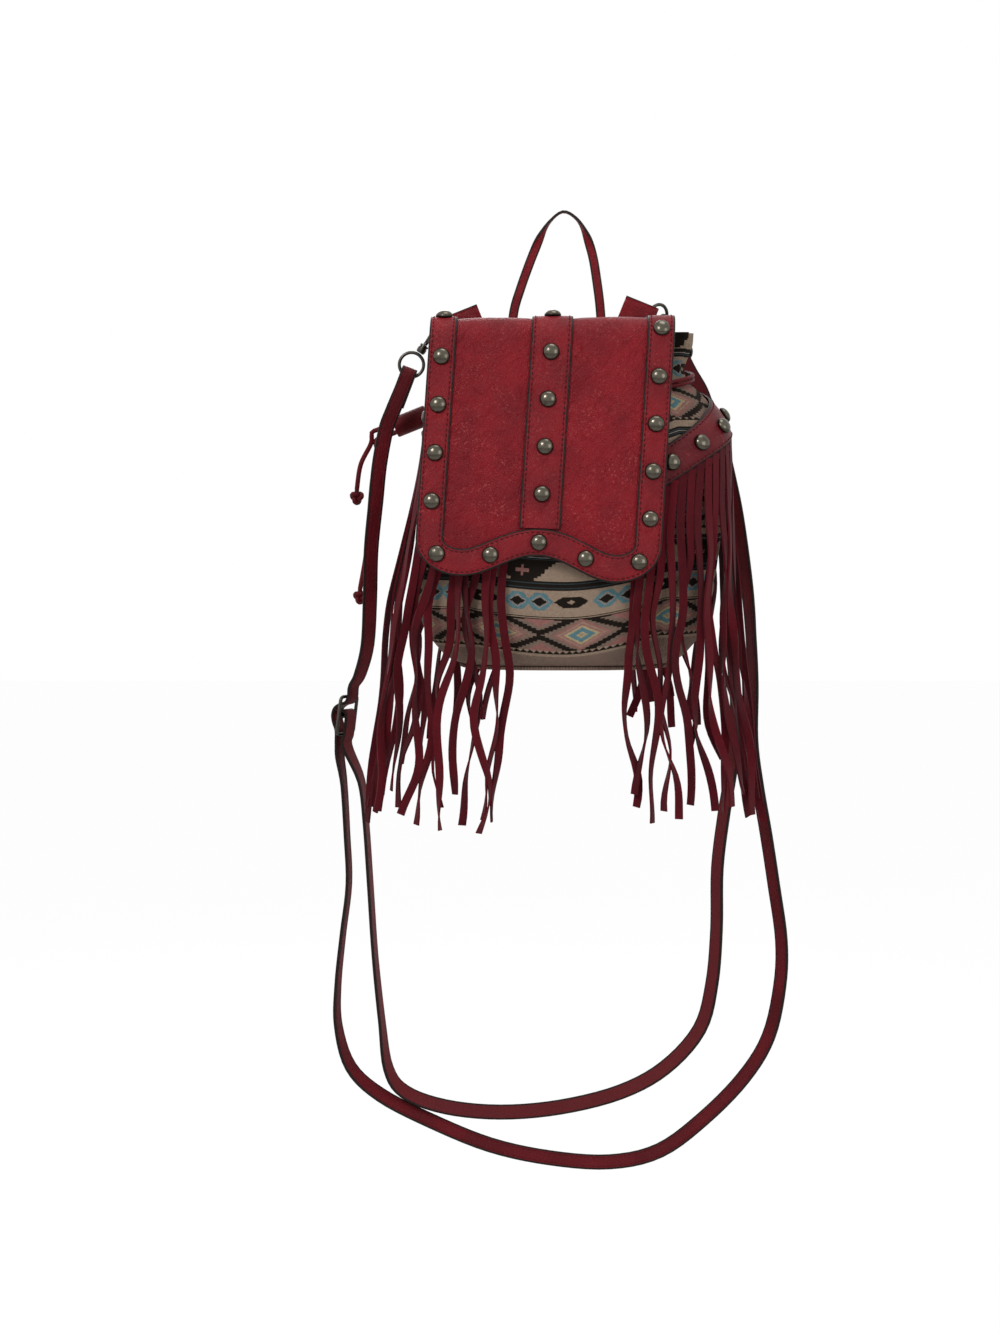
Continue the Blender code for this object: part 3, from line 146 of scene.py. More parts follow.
# %% Sky and floor
SKY_LIGHT = 0.42
FLOOR_Z = -0.86
world = bpy.data.worlds.new("pale_studio")
world.use_nodes = True
bpy.context.scene.world = world
sky = Board(world.node_tree)
path = sky.add("ShaderNodeLightPath").outputs
seen = sky.calc("MAXIMUM", path["Is Camera Ray"], path["Is Glossy Ray"])
seen = sky.calc("MAXIMUM", seen, path["Is Transmission Ray"])
strength = sky.calc("MULTIPLY_ADD", seen, 1.0 - SKY_LIGHT, SKY_LIGHT)
background = world.node_tree.nodes["Background"]
background.inputs["Color"].default_value = (1, 1, 1, 1)
sky.feed(background.inputs["Strength"], strength)

floor_mat = bpy.data.materials.new("pale_floor")
floor_mat.use_nodes = True
ground = Board(floor_mat.node_tree)
matt = floor_mat.node_tree.nodes["Principled BSDF"]
matt.inputs["Base Color"].default_value = (0.86, 0.86, 0.86, 1)
matt.inputs["Roughness"].default_value = 0.9
glow = ground.add("ShaderNodeEmission", {"Color": (1, 1, 1, 1), "Strength": 1.06}).outputs[0]
path = ground.add("ShaderNodeLightPath").outputs
share = ground.calc("MULTIPLY", path["Is Camera Ray"], 0.88)
mixed = ground.add("ShaderNodeMixShader", {0: share, 1: matt.outputs[0], 2: glow}).outputs[0]
ground.feed(floor_mat.node_tree.nodes["Material Output"].inputs["Surface"], mixed)
floor_mesh = bpy.data.meshes.new("floor")
corners = [(-4, -4, FLOOR_Z), (4, -4, FLOOR_Z), (4, 6, FLOOR_Z), (-4, 6, FLOOR_Z)]
floor_mesh.from_pydata(corners, [], [(0, 1, 2, 3)])
floor_mesh.materials.append(floor_mat)
floor = bpy.data.objects.new("floor", floor_mesh)
bpy.context.collection.objects.link(floor)


# %% Lamps
def lamp(name, place, aim, size, power):
    light = bpy.data.lights.new(name, "AREA")
    light.size = size
    light.energy = power
    obj = bpy.data.objects.new(name, light)
    obj.location = place
    obj.rotation_euler = (Vector(aim) - Vector(place)).to_track_quat("-Z", "Y").to_euler()
    bpy.context.collection.objects.link(obj)


lamp("key", (-0.75, -1.35, 0.75), (0, -0.05, -0.25), 0.45, 11.5)
lamp("fill", (1.10, -1.10, 0.10), (0, -0.05, -0.25), 0.80, 4.5)
lamp("top", (0.20, -0.10, 1.20), (0, -0.05, -0.20), 0.70, 5.5)
lamp("back", (-0.40, 1.60, 0.50), (0, 0, -0.25), 0.90, 7.0)
print("camera, sky, floor and four lamps are ready")

# %% [markdown]
# ## The rules of the shape
# Every soft piece here follows one of three rules that the solids follow too: the body is a table of
# levels, the flap is a side view that is swept across, and the straps are routes of points. The same
# rules are written again, so that the finer pieces lie just where their solids are.

# %% Sizes of the body
GAP = 0.0003
LAYER_GAP = 0.0004
BODY_LEVELS = [
    (-0.285, 0.066, 0.072, 0.0),
    (-0.282, 0.073, 0.078, 0.0),
    (-0.275, 0.080, 0.084, 0.0),
    (-0.264, 0.088, 0.088, 0.0),
    (-0.245, 0.093, 0.090, 0.0),
    (-0.220, 0.0946, 0.092, 0.0019),
    (-0.190, 0.0955, 0.092, 0.0045),
    (-0.165, 0.0958, 0.090, 0.0067),
    (-0.150, 0.0955, 0.087, 0.0075),
    (-0.138, 0.0943, 0.081, 0.0077),
    (-0.127, 0.0890, 0.073, 0.0070),
    (-0.117, 0.0824, 0.064, 0.0056),
    (-0.108, 0.0755, 0.057, 0.0035),
    (-0.101, 0.0718, 0.054, 0.0032),
    (-0.094, 0.0730, 0.056, 0.0030),
    (-0.086, 0.0752, 0.060, 0.0028),
    (-0.078, 0.0755, 0.062, 0.0025),
]
BACK_Y = -0.003
PLAN_POWER = 2.6
FABRIC = 0.0016
LINING = 0.0008
LINING_TOP = -0.128
BASE_BOARD = 0.0025
GATHERS = 16
GATHER_START = -0.112
GATHER_DEPTH = 0.0042
WIDEST_Z = -0.19


# %% The body's surface
def hermite(table, z):
    """Smooth value of each column of a table at level z."""
    levels = [row[0] for row in table]
    if z <= levels[0]:
        return table[0][1:]
    if z >= levels[-1]:
        return table[-1][1:]
    i = max(k for k in range(len(levels) - 1) if levels[k] <= z)
    span = levels[i + 1] - levels[i]
    t = (z - levels[i]) / span
    values = []
    for col in range(1, len(table[0])):

        def slope(k):
            lo, hi = max(k - 1, 0), min(k + 1, len(table) - 1)
            return (table[hi][col] - table[lo][col]) / (levels[hi] - levels[lo])

        h00 = 2 * t**3 - 3 * t**2 + 1
        h10 = t**3 - 2 * t**2 + t
        h01 = -2 * t**3 + 3 * t**2
        h11 = t**3 - t**2
        values.append(h00 * table[i][col] + h10 * span * slope(i)
                      + h01 * table[i + 1][col] + h11 * span * slope(i + 1))
    return values


def plan_point(angle, half_width, depth, inset=0.0):
    """Point of the rounded plan shape: angle 0 is the front, 90 degrees is +X."""
    a = half_width - inset
    b = depth / 2 - inset
    s, c = math.sin(angle), math.cos(angle)
    x = a * math.copysign(abs(s) ** (2 / PLAN_POWER), s)
    y = BACK_Y - depth / 2 - b * math.copysign(abs(c) ** (2 / PLAN_POWER), c)
    return x, y


def plan_normal(angle, half_width, depth):
    x, y = plan_point(angle, half_width, depth)
    b = depth / 2
    dx = x / half_width
    dy = (y - BACK_Y + b) / b
    nx = math.copysign(abs(dx) ** (PLAN_POWER - 1), dx) / half_width
    ny = math.copysign(abs(dy) ** (PLAN_POWER - 1), dy) / b
    size = math.hypot(nx, ny)
    return nx / size, ny / size


def gather(angle, z):
    """Outward ripple of the gathered neck: none on the flat back panel."""
    rise = max(0.0, z - GATHER_START) / (BODY_LEVELS[-1][0] - GATHER_START)
    turn = abs(math.atan2(math.sin(angle), math.cos(angle)))
    front = 1.0 - min(1.0, max(0.0, (turn - 1.9) / 0.5))
    wave = math.cos(GATHERS * angle + 0.8 * math.sin(3 * angle))
    return GATHER_DEPTH * rise**0.7 * front * wave


def upright_point(angle, z, offset=0.0):
    """Point on the body's surface before it sways."""
    half_width, depth, _ = hermite(BODY_LEVELS, z)
    x, y = plan_point(angle, half_width, depth)
    nx, ny = plan_normal(angle, half_width, depth)
    reach = offset + gather(angle, z)
    return Vector((x + nx * reach, y + ny * reach, z))


def sway(z):
    """Shift of the body's middle to the right at level z."""
    return Vector((hermite(BODY_LEVELS, z)[2], 0, 0))


def body_point(angle, z, offset=0.0):
    return upright_point(angle, z, offset) + sway(z)


# %% Mesh helpers
def new_object(name, mesh):
    obj = bpy.data.objects.new(name, mesh)
    bpy.context.collection.objects.link(obj)
    return obj


def finish_mesh(obj, angle=40, outward=True):
    """Points the faces outwards and shades them smooth but for the sharp edges."""
    if outward:
        work = bmesh.new()
        work.from_mesh(obj.data)
        bmesh.ops.recalc_face_normals(work, faces=work.faces)
        work.to_mesh(obj.data)
        work.free()
    obj.data.shade_smooth()
    obj.data.set_sharp_from_angle(angle=math.radians(angle))
    return obj


def plain_object(name, verts, faces, mat, lengths=(), marks=None):
    """Object from points and faces, with a map of its lengths and with numbers on its points."""
    mesh = bpy.data.meshes.new(name)
    mesh.from_pydata(verts, [], faces)
    if lengths:
        layer = mesh.uv_layers.new(name="lengths")
        for slot, value in zip(layer.data, lengths):
            slot.uv = value
    for label, values in (marks or {}).items():
        mesh.attributes.new(label, "FLOAT", "POINT").data.foreach_set("value", values)
    mesh.materials.append(mat)
    return new_object(name, mesh)


def sweep(name, rings, mat, along, around, closed=False, edge=None, back=None, angle=40):
    """One closed solid through rings of points, with a map of its lengths.

    along is a length for each ring, around one for each point of a ring and one more to close it.
    edge and back mark each point of a ring: painted edge, and raw back of the leather.
    """
    count, per = len(rings), len(rings[0])
    faces = []
    lengths = []
    for s in range(count if closed else count - 1):
        t = (s + 1) % count
        for k in range(per):
            m = (k + 1) % per
            faces.append((s * per + k, s * per + m, t * per + m, t * per + k))
            for a, b in ((s, k), (s, k + 1), (s + 1, k + 1), (s + 1, k)):
                lengths.append((along[a], around[b]))
    if not closed:
        for s in (0, count - 1):
            faces.append(tuple(s * per + k for k in range(per)))
            lengths += [(along[s], around[k]) for k in range(per)]
    marks = {label: list(row) * count for label, row in (("edge", edge), ("back", back)) if row}
    verts = [p for ring in rings for p in ring]
    return finish_mesh(plain_object(name, verts, faces, mat, lengths, marks), angle)


def run_lengths(points, closed=False):
    """Length gone at each point of a path."""
    gone = [0.0]
    for a, b in zip(points, points[1:] + (points[:1] if closed else [])):
        gone.append(gone[-1] + (Vector(b) - Vector(a)).length)
    return gone


def way_at(points, i):
    """Direction of a path at one of its points, from the points on both sides."""
    return (points[min(i + 1, len(points) - 1)] - points[max(i - 1, 0)]).normalized()


EDGE_LINE = 0.0012
STITCH_INSET = 0.0021
STITCH_DENT = 0.00016


def strip_profile(width, thick, crown=0.0):
    """Cut through a leather strip: (across, height, painted, back) round it from its left face edge."""
    half, top = width / 2, thick / 2
    r = min(0.0005, thick * 0.3)
    face = [half - r, half - r - EDGE_LINE, half - STITCH_INSET - 0.0004, half - STITCH_INSET,
            half - STITCH_INSET + 0.0004, half * 0.4]
    face = sorted(set([-a for a in face] + [0.0] + face))
    rows = []
    for a in face:
        dent = STITCH_DENT if abs(abs(a) - (half - STITCH_INSET)) < 1e-6 else 0.0
        rows.append((a, top + crown * (1 - (a / half) ** 2) - dent, float(abs(a) > half - r - 1e-6), 0.0))
    soft = 0.3 * r
    side = [(half - soft, top - soft), (half, top - r), (half, r - top), (half - soft, soft - top)]
    rows += [(a, h, 1.0, 0.0) for a, h in side]
    under = [half - r, half - r - EDGE_LINE, EDGE_LINE + r - half, r - half]
    rows += [(a, -top, float(abs(a) > half - r - 1e-6), float(abs(a) < half - r - 1e-6)) for a in under]
    rows += [(-a, h, 1.0, 0.0) for a, h in reversed(side)]
    return rows


def sweep_strip(name, rings, mat, profile, path=None):
    """Leather strip through rings that all have the same cut, with its edges and its back marked."""
    around = run_lengths([Vector((a, h, 0)) for a, h, _, _ in profile], closed=True)
    along = run_lengths(path or [ring[0] for ring in rings])
    return sweep(name, rings, mat, along, around,
                 edge=[row[2] for row in profile], back=[row[3] for row in profile])


def strip_solid(name, stations, width, thick, mat, crown=0.0):
    """Leather strip through stations: middle, way across, way out and share of the full width."""
    profile = strip_profile(width, thick, crown)
    rings = []
    for middle, across, out, share in stations:
        rings.append([middle + across * (a * share) + out * h for a, h, _, _ in profile])
    return sweep_strip(name, rings, mat, profile, [s[0] for s in stations])


def turned_frames(points, closed=False, first=None):
    """Direction, side and up at each point of a path, turned as little as possible."""
    count = len(points)
    frames = []
    side = None
    for i in range(count):
        ahead = points[(i + 1) % count] if closed else points[min(i + 1, count - 1)]
        behind = points[i - 1] if closed else points[max(i - 1, 0)]
        along = (ahead - behind).normalized()
        if side is None:
            side = along.cross(first or Vector((0, 0, 1)))
            if side.length < 0.1:
                side = along.cross(Vector((0, 1, 0)))
        side = (side - along * side.dot(along)).normalized()
        frames.append((along, side, side.cross(along)))
    return frames


def round_rings(points, radius, sides, closed=False):
    """Rings of a round cord or wire; radius is a number or a function of the share of the path."""
    rings = []
    for i, (point, (_, side, up)) in enumerate(zip(points, turned_frames(points, closed))):
        r = radius(i / (len(points) - 1)) if callable(radius) else radius
        turns = [2 * math.pi * k / sides for k in range(sides)]
        rings.append([point + side * (r * math.cos(t)) + up * (r * math.sin(t)) for t in turns])
    return rings


def round_solid(name, points, radius, mat, sides=12, closed=False):
    points = [Vector(p) for p in points]
    rings = round_rings(points, radius, sides, closed)
    girth = 2 * math.pi * (radius(0.5) if callable(radius) else radius)
    around = [girth * k / sides for k in range(sides + 1)]
    return sweep(name, rings, mat, run_lengths(points, closed), around, closed, angle=60)


def join(name, objects):
    """One object from several, its parts side by side."""
    with bpy.context.temp_override(active_object=objects[0], selected_editable_objects=objects):
        bpy.ops.object.join()
    objects[0].name = name
    return objects[0]


def lathe_mesh(name, profile, sides, mat, place, axis):
    """Closed solid turned round an axis, through (radius, height) pairs; both ends lie on the axis."""
    turn = Vector((0, 0, 1)).rotation_difference(Vector(axis))
    verts = [Vector((0, 0, profile[0][1]))]
    for radius, height in profile[1:-1]:
        for i in range(sides):
            a = 2 * math.pi * i / sides
            verts.append(Vector((radius * math.cos(a), radius * math.sin(a), height)))
    verts.append(Vector((0, 0, profile[-1][1])))
    faces = []
    rings = len(profile) - 2
    last = len(verts) - 1
    for i in range(sides):
        j = (i + 1) % sides
        faces.append((0, 1 + j, 1 + i))
        faces.append((last, last - sides + i, last - sides + j))
        for r in range(rings - 1):
            a, b = 1 + r * sides, 1 + (r + 1) * sides
            faces.append((a + i, a + j, b + j, b + i))
    placed = [Vector(place) + turn @ v for v in verts]
    return finish_mesh(plain_object(name, placed, faces, mat), 50)


print("width of the body at its widest:", round(2 * max(row[1] for row in BODY_LEVELS) * 1000), "mm")

# %% [markdown]
# ## Finishes
# A finish is a shader with a few shared effects in front of it. The effects are node groups: leather
# grain with pale specks that are partly painted highlight, painted edge, suede nap, worn metal with painted
# shade at the studs' rims, and the woven cloth. A group hands over colours, masks
# and heights, and the shader itself stays in the material, where its plain numbers are set too.


# %% Group helper
def effect_group(name, inputs, outputs):
    """Empty shader group with its named sockets; gives the board, its input and its output node."""
    tree = bpy.data.node_groups.new(name, "ShaderNodeTree")
    for label, value in inputs.items():
        kind = "NodeSocketColor" if isinstance(value, tuple) else "NodeSocketFloat"
        socket = tree.interface.new_socket(name=label, in_out="INPUT", socket_type=kind)
        socket.default_value = value
    for label, kind in outputs.items():
        tree.interface.new_socket(name=label, in_out="OUTPUT", socket_type=kind)
    board = Board(tree)
    return board, board.add("NodeGroupInput").outputs, board.add("NodeGroupOutput").inputs


def use_group(board, group, **values):
    node = board.add("ShaderNodeGroup", node_tree=group.tree)
    for label, value in values.items():
        board.feed(node.inputs[label.replace("_", " ")], value)
    return node.outputs


# %% Leather grain
leather_grain, given, result = effect_group(
    "leather grain", {"Grain Size": 0.0011, "Crease Depth": 0.5},
    {"Height": "NodeSocketFloat", "Blotch": "NodeSocketFloat", "SpeckAndGlint": "NodeSocketFloat"})
place = leather_grain.place()
scale = leather_grain.calc("DIVIDE", 1.0, given["Grain Size"])
sockets = {"Vector": place, "Scale": 260.0, "Detail": 2.0}
warp = leather_grain.add("ShaderNodeTexNoise", sockets).outputs["Color"]
shift = leather_grain.vector("SUBTRACT", {0: warp, 1: (0.5, 0.5, 0.5)})
shift = leather_grain.vector("SCALE", {0: shift, "Scale": 0.0016})
bent = leather_grain.vector("ADD", {0: place, 1: shift})
sockets = {"Vector": bent, "Scale": scale}
cells = leather_grain.add("ShaderNodeTexVoronoi", sockets, feature="DISTANCE_TO_EDGE")
pebble = leather_grain.fade(cells.outputs["Distance"], 0.0, 0.28)
fine = leather_grain.mottle(place, 1900.0, 3.0)
stretched = leather_grain.add("ShaderNodeMapping", {
    "Vector": place, "Rotation": (0.0, math.radians(-40), 0.0), "Scale": (1.0, 1.0, 0.3)},
    vector_type="TEXTURE").outputs[0]
crease = leather_grain.mottle(stretched, 42.0, 5.0, 0.9)
crease = leather_grain.calc("ABSOLUTE", leather_grain.calc("SUBTRACT", crease, 0.5))
crease = leather_grain.calc("SUBTRACT", 1.0, leather_grain.fade(crease, 0.0, 0.014))
crease = leather_grain.calc("MULTIPLY", crease, given["Crease Depth"])
relief = leather_grain.calc("MULTIPLY_ADD", pebble, 0.55, leather_grain.calc("MULTIPLY", fine, 0.35))
leather_grain.feed(result["Height"], leather_grain.calc("SUBTRACT", relief, crease))
cloud = leather_grain.mottle(place, 38.0, 4.0)
leather_grain.feed(result["Blotch"], leather_grain.fade(cloud, 0.30, 0.72))
# Pale specks on the grain: partly the leather's own fleck, partly painted highlight for the sparkle of its
# pebbles.
speck_glint_dots = leather_grain.mottle(bent, 720.0, 3.0)
speck_glint_patch = leather_grain.mottle(place, 55.0, 2.0)
speck_glint_patch = leather_grain.fade(speck_glint_patch, 0.42, 0.62)
speck_glint_dots = leather_grain.fade(speck_glint_dots, 0.56, 0.70)
leather_grain.feed(result["SpeckAndGlint"], leather_grain.calc("MULTIPLY", speck_glint_dots, speck_glint_patch))

# %% Painted edge
edge_paint, given, result = effect_group(
    "edge paint", {"Leather": (0.2, 0.02, 0.03, 1.0), "Paint": (0.03, 0.02, 0.015, 1.0)},
    {"Colour": "NodeSocketColor"})
mark = edge_paint.mark("edge")
raw = edge_paint.mark("back")
place = edge_paint.place()
waver = edge_paint.mottle(place, 420.0, 2.0)
mark = edge_paint.fade(edge_paint.calc("MULTIPLY_ADD", waver, 0.30, mark), 0.50, 0.75)
dull = edge_paint.blend(edge_paint.calc("MULTIPLY", raw, 0.75), given["Leather"], paint(96, 30, 34))
edge_paint.feed(result["Colour"], edge_paint.blend(mark, dull, given["Paint"]))

# %% Suede nap
suede_nap, given, result = effect_group(
    "suede nap", {"Light": (0.13, 0.01, 0.02, 1.0), "Dark": (0.04, 0.003, 0.008, 1.0)},
    {"Colour": "NodeSocketColor", "Height": "NodeSocketFloat"})
place = suede_nap.place()
tone = suede_nap.mark("tone")
hair = suede_nap.add("ShaderNodeMapping", {"Vector": place, "Scale": (1.0, 1.0, 0.22)}).outputs[0]
hair = suede_nap.mottle(hair, 1500.0, 4.0)
brushed = suede_nap.mottle(place, 70.0, 3.0)
mix = suede_nap.calc("MULTIPLY_ADD", tone, 0.55, suede_nap.calc("MULTIPLY", brushed, 0.45))
mix = suede_nap.calc("MULTIPLY_ADD", suede_nap.calc("SUBTRACT", hair, 0.5), 0.5, mix, clamp=True)
suede_nap.feed(result["Colour"], suede_nap.blend(mix, given["Dark"], given["Light"]))
suede_nap.feed(result["Height"], hair)

# %% Worn metal, with painted shade at the studs' rims
metal_wear_and_shade, given, result = effect_group(
    "metal wear and rim shade", {"Bright": (0.2, 0.18, 0.15, 1.0), "Tarnish": (0.03, 0.026, 0.02, 1.0), "Polish": 0.25},
    {"Colour": "NodeSocketColor", "Roughness": "NodeSocketFloat", "Height": "NodeSocketFloat"})
place = metal_wear_and_shade.place()
# The rim mark is painted shade at the foot of each stud, where the leather round it shades it, on top of some
# tarnish.
rim = metal_wear_and_shade.mark("rim")
stain = metal_wear_and_shade.mottle(place, 330.0, 5.0)
scuff = metal_wear_and_shade.mottle(place, 1500.0, 3.0)
tarnish_and_rim_shade = metal_wear_and_shade.calc("MULTIPLY", metal_wear_and_shade.fade(stain, 0.48, 0.75), 0.45)
tarnish_and_rim_shade = metal_wear_and_shade.calc("MAXIMUM", tarnish_and_rim_shade, rim)
metal_wear_and_shade.feed(result["Colour"], metal_wear_and_shade.blend(tarnish_and_rim_shade, given["Bright"], given["Tarnish"]))
rough = metal_wear_and_shade.calc("MULTIPLY_ADD", tarnish_and_rim_shade, 0.35, given["Polish"])
metal_wear_and_shade.feed(result["Roughness"], metal_wear_and_shade.calc("MULTIPLY_ADD", scuff, 0.10, rough))
metal_wear_and_shade.feed(result["Height"], scuff)

# %% [markdown]
# ### The woven cloth
# The cloth is a jacquard: threads of eight colours make rows of stepped diamonds, zigzags, hexagons and
# stripes, and a twill runs slantwise over all of them. A real weave can only turn from one colour to
# the next at a whole thread. So both lengths, round the bag and up the bag, are first cut into whole
# threads, and then plain arithmetic draws the motifs. Their stepped edges come out by themselves.

# %% Thread colours
CREAM = paint(162, 148, 126)
ROSE = paint(158, 108, 102)
TEAL = paint(62, 136, 146)
YELLOW = paint(190, 180, 134)
BROWN = paint(32, 26, 21)
SLATE = paint(58, 70, 74)
TAUPE = paint(128, 112, 99)
PALE = paint(140, 146, 140)

# %% Rows of the weave, from the bottom strip up, in millimetres
REPEAT_UP = 66.0
REPEAT_ROUND = 56.0
WEAVE_START = -0.277
DIAMOND_ROW = 11.8
HEXAGON_ROW = 32.4
STEP_ROW = 51.2
WEAVE_ROWS = [
    (0.0, CREAM), (1.6, TAUPE), (21.1, BROWN), (21.9, CREAM), (22.4, BROWN), (23.3, CREAM),
    (39.4, BROWN), (40.6, SLATE), (41.2, BROWN), (42.0, PALE), (42.3, BROWN), (43.2, SLATE), (43.8, BROWN),
    (44.8, CREAM), (56.8, BROWN), (57.8, SLATE), (58.4, BROWN), (59.1, PALE), (59.4, BROWN), (60.2, SLATE),
    (60.8, BROWN), (61.8, CREAM),
]


# %% Woven pattern
woven, given, result = effect_group(
    "woven pattern", {"Thread": 0.7},
    {"Colour": "NodeSocketColor", "Height": "NodeSocketFloat"})
lengths = woven.add("ShaderNodeUVMap", uv_map="lengths").outputs[0]
lengths = woven.add("ShaderNodeSeparateXYZ", {0: lengths}).outputs
across = woven.calc("MULTIPLY", lengths["X"], 1000.0)
height = woven.calc("MULTIPLY_ADD", lengths["Y"], 1000.0, -1000.0 * WEAVE_START)
thread_across = woven.calc("SNAP", across, given["Thread"])
thread_up = woven.calc("SNAP", height, woven.calc("MULTIPLY", given["Thread"], 0.8))


def wrapped(value, middle, repeat):
    """Distance from the nearest middle of a motif that repeats."""
    shift = woven.calc("SUBTRACT", value, middle)
    return woven.calc("ABSOLUTE", woven.calc("WRAP", shift, repeat / 2, -repeat / 2))


def within(value, limit):
    return woven.calc("LESS_THAN", value, limit)


def both(a, b):
    return woven.calc("MULTIPLY", a, b)


def lozenge(side, up, half_width, half_height):
    """Lozenge distance: 0 in the middle, 1 at the edge."""
    return woven.calc("ADD", woven.calc("DIVIDE", side, half_width), woven.calc("DIVIDE", up, half_height))


level = woven.calc("WRAP", thread_up, REPEAT_UP, 0.0)
ramp = woven.add("ShaderNodeValToRGB", {0: woven.calc("DIVIDE", level, REPEAT_UP)})
ramp.color_ramp.interpolation = "CONSTANT"
for _ in range(len(WEAVE_ROWS) - 2):
    ramp.color_ramp.elements.new(0.5)
for stop, (start, colour) in zip(ramp.color_ramp.elements, WEAVE_ROWS):
    stop.position = start / REPEAT_UP
    stop.color = colour
cloth = ramp.outputs["Color"]

# %% Diamonds with their rings, and the zigzags that cross between them
DIAMOND_MIDDLE = 10.4
DIAMOND_RINGS = [
    (1.05, TAUPE), (0.95, ROSE), (0.80, CREAM), (0.70, ROSE), (0.60, YELLOW), (0.46, TEAL),
    (0.20, YELLOW), (0.09, CREAM),
]
SAW_STEP = 2.8
side = wrapped(thread_across, DIAMOND_MIDDLE, REPEAT_ROUND)
up = woven.calc("ABSOLUTE", woven.calc("SUBTRACT", level, DIAMOND_ROW))
in_row = within(up, 10.0)
ring = lozenge(side, up, 20.5, 10.2)
for limit, colour in DIAMOND_RINGS:
    cloth = woven.blend(both(in_row, within(ring, limit)), cloth, colour)
coarse_side = wrapped(woven.calc("SNAP", across, SAW_STEP), DIAMOND_MIDDLE - SAW_STEP / 2, REPEAT_ROUND)
crossing = lozenge(coarse_side, up, 28.5, 10.8)
saw = both(within(crossing, 1.26), woven.calc("GREATER_THAN", crossing, 0.95))
cloth = woven.blend(both(in_row, saw), cloth, BROWN)
gap_side = wrapped(thread_across, DIAMOND_MIDDLE + REPEAT_ROUND / 2, REPEAT_ROUND)
edge_up = woven.calc("SUBTRACT", 10.0, up)
small = lozenge(gap_side, edge_up, 11.0, 5.2)
cloth = woven.blend(both(in_row, within(small, 0.95)), cloth, ROSE)
teeth = woven.calc("PINGPONG", woven.calc("SNAP", across, 0.8), 2.4)
cloth = woven.blend(within(level, woven.calc("MULTIPLY_ADD", teeth, 0.55, 0.5)), cloth, BROWN)

# %% Hexagons in pairs, with a dark lozenge in each, and a brown one between the pairs
up = woven.calc("ABSOLUTE", woven.calc("SUBTRACT", level, HEXAGON_ROW))
for middle in (-31.0, -17.0):
    side = wrapped(thread_across, middle, REPEAT_ROUND)
    spread = woven.calc("MAXIMUM", lozenge(side, up, 8.6, 8.6), woven.calc("DIVIDE", up, 5.2))
    cloth = woven.blend(within(spread, 1.0), cloth, TEAL)
    cloth = woven.blend(within(lozenge(side, up, 6.4, 4.6), 0.95), cloth, PALE)
    cloth = woven.blend(within(lozenge(side, up, 5.4, 3.0), 0.95), cloth, BROWN)
side = wrapped(thread_across, 3.0, REPEAT_ROUND)
spread = woven.calc("MAXIMUM", lozenge(side, up, 11.0, 6.4), woven.calc("DIVIDE", up, 3.4))
cloth = woven.blend(within(spread, 1.0), cloth, BROWN)
cloth = woven.blend(within(lozenge(side, up, 2.6, 1.4), 1.0), cloth, CREAM)

# %% Stepped dark field with a small cross
STEP_MIDDLE = -29.0
side = wrapped(woven.calc("SNAP", across, 2.1), STEP_MIDDLE, REPEAT_ROUND)
climb = woven.calc("SUBTRACT", woven.calc("SNAP", level, 1.5), 45.0)
reach = woven.calc("MULTIPLY_ADD", climb, 1.05, 8.0)
row = both(within(level, 57.2), woven.calc("GREATER_THAN", level, 45.1))
cloth = woven.blend(both(row, within(side, reach)), cloth, BROWN)
side = wrapped(thread_across, STEP_MIDDLE, REPEAT_ROUND)
up = woven.calc("ABSOLUTE", woven.calc("SUBTRACT", level, STEP_ROW))
upright_bar = both(within(side, 1.0), within(up, 3.2))
level_bar = both(within(side, 4.0), within(up, 0.9))
cloth = woven.blend(woven.calc("MAXIMUM", upright_bar, level_bar), cloth, ROSE)

# %% Twill, thread by thread, and the plain strip at the bottom
PLAIN_STRIP_TOP = -2.2
TWILL_HALF = 0.65
cloth = woven.blend(within(thread_up, PLAIN_STRIP_TOP), cloth, TAUPE)
slant = woven.calc("ADD", across, height)
twill = woven.calc("DIVIDE", woven.calc("PINGPONG", slant, TWILL_HALF), TWILL_HALF)
pick = woven.add("ShaderNodeCombineXYZ", {0: thread_across, 1: thread_up}).outputs[0]
uneven = woven.add("ShaderNodeTexWhiteNoise", {0: pick}, noise_dimensions="2D").outputs["Value"]
brightness = woven.add("ShaderNodeRGBToBW", {0: cloth}).outputs[0]
rosy = woven.calc("MULTIPLY", woven.fade(brightness, 0.10, 0.24), 0.55)
rosy = woven.calc("MULTIPLY", woven.fade(twill, 0.45, 0.75), rosy)
plain = woven.blend(rosy, cloth, ROSE)
shade = woven.calc("MULTIPLY_ADD", uneven, 0.34, 0.74)
shade = woven.calc("MULTIPLY", shade, woven.calc("MULTIPLY_ADD", twill, 0.44, 0.68))
grey = woven.add("ShaderNodeCombineColor", {0: shade, 1: shade, 2: shade}).outputs[0]
woven.feed(result["Colour"], woven.blend(1.0, plain, grey, "MULTIPLY"))
woven.feed(result["Height"], woven.calc("MULTIPLY_ADD", uneven, 0.35, twill))
print("rows in one repeat of the weave:", len(WEAVE_ROWS))


# %% Material helper
def new_material(name, specular=0.5):
    """Material with its board and its Principled shader."""
    mat = bpy.data.materials.new(name)
    mat.use_nodes = True
    shader = mat.node_tree.nodes["Principled BSDF"]
    shader.inputs["Specular IOR Level"].default_value = specular
    return mat, Board(mat.node_tree), shader


def bump(board, shader, height, strength, distance):
    settings = {"Strength": strength, "Distance": distance, "Height": height}
    board.feed(shader.inputs["Normal"], board.add("ShaderNodeBump", settings).outputs[0])


# %% Red leather, for the flap's panel, the trim, the straps and the bands
EDGE_BROWN = paint(34, 22, 20)


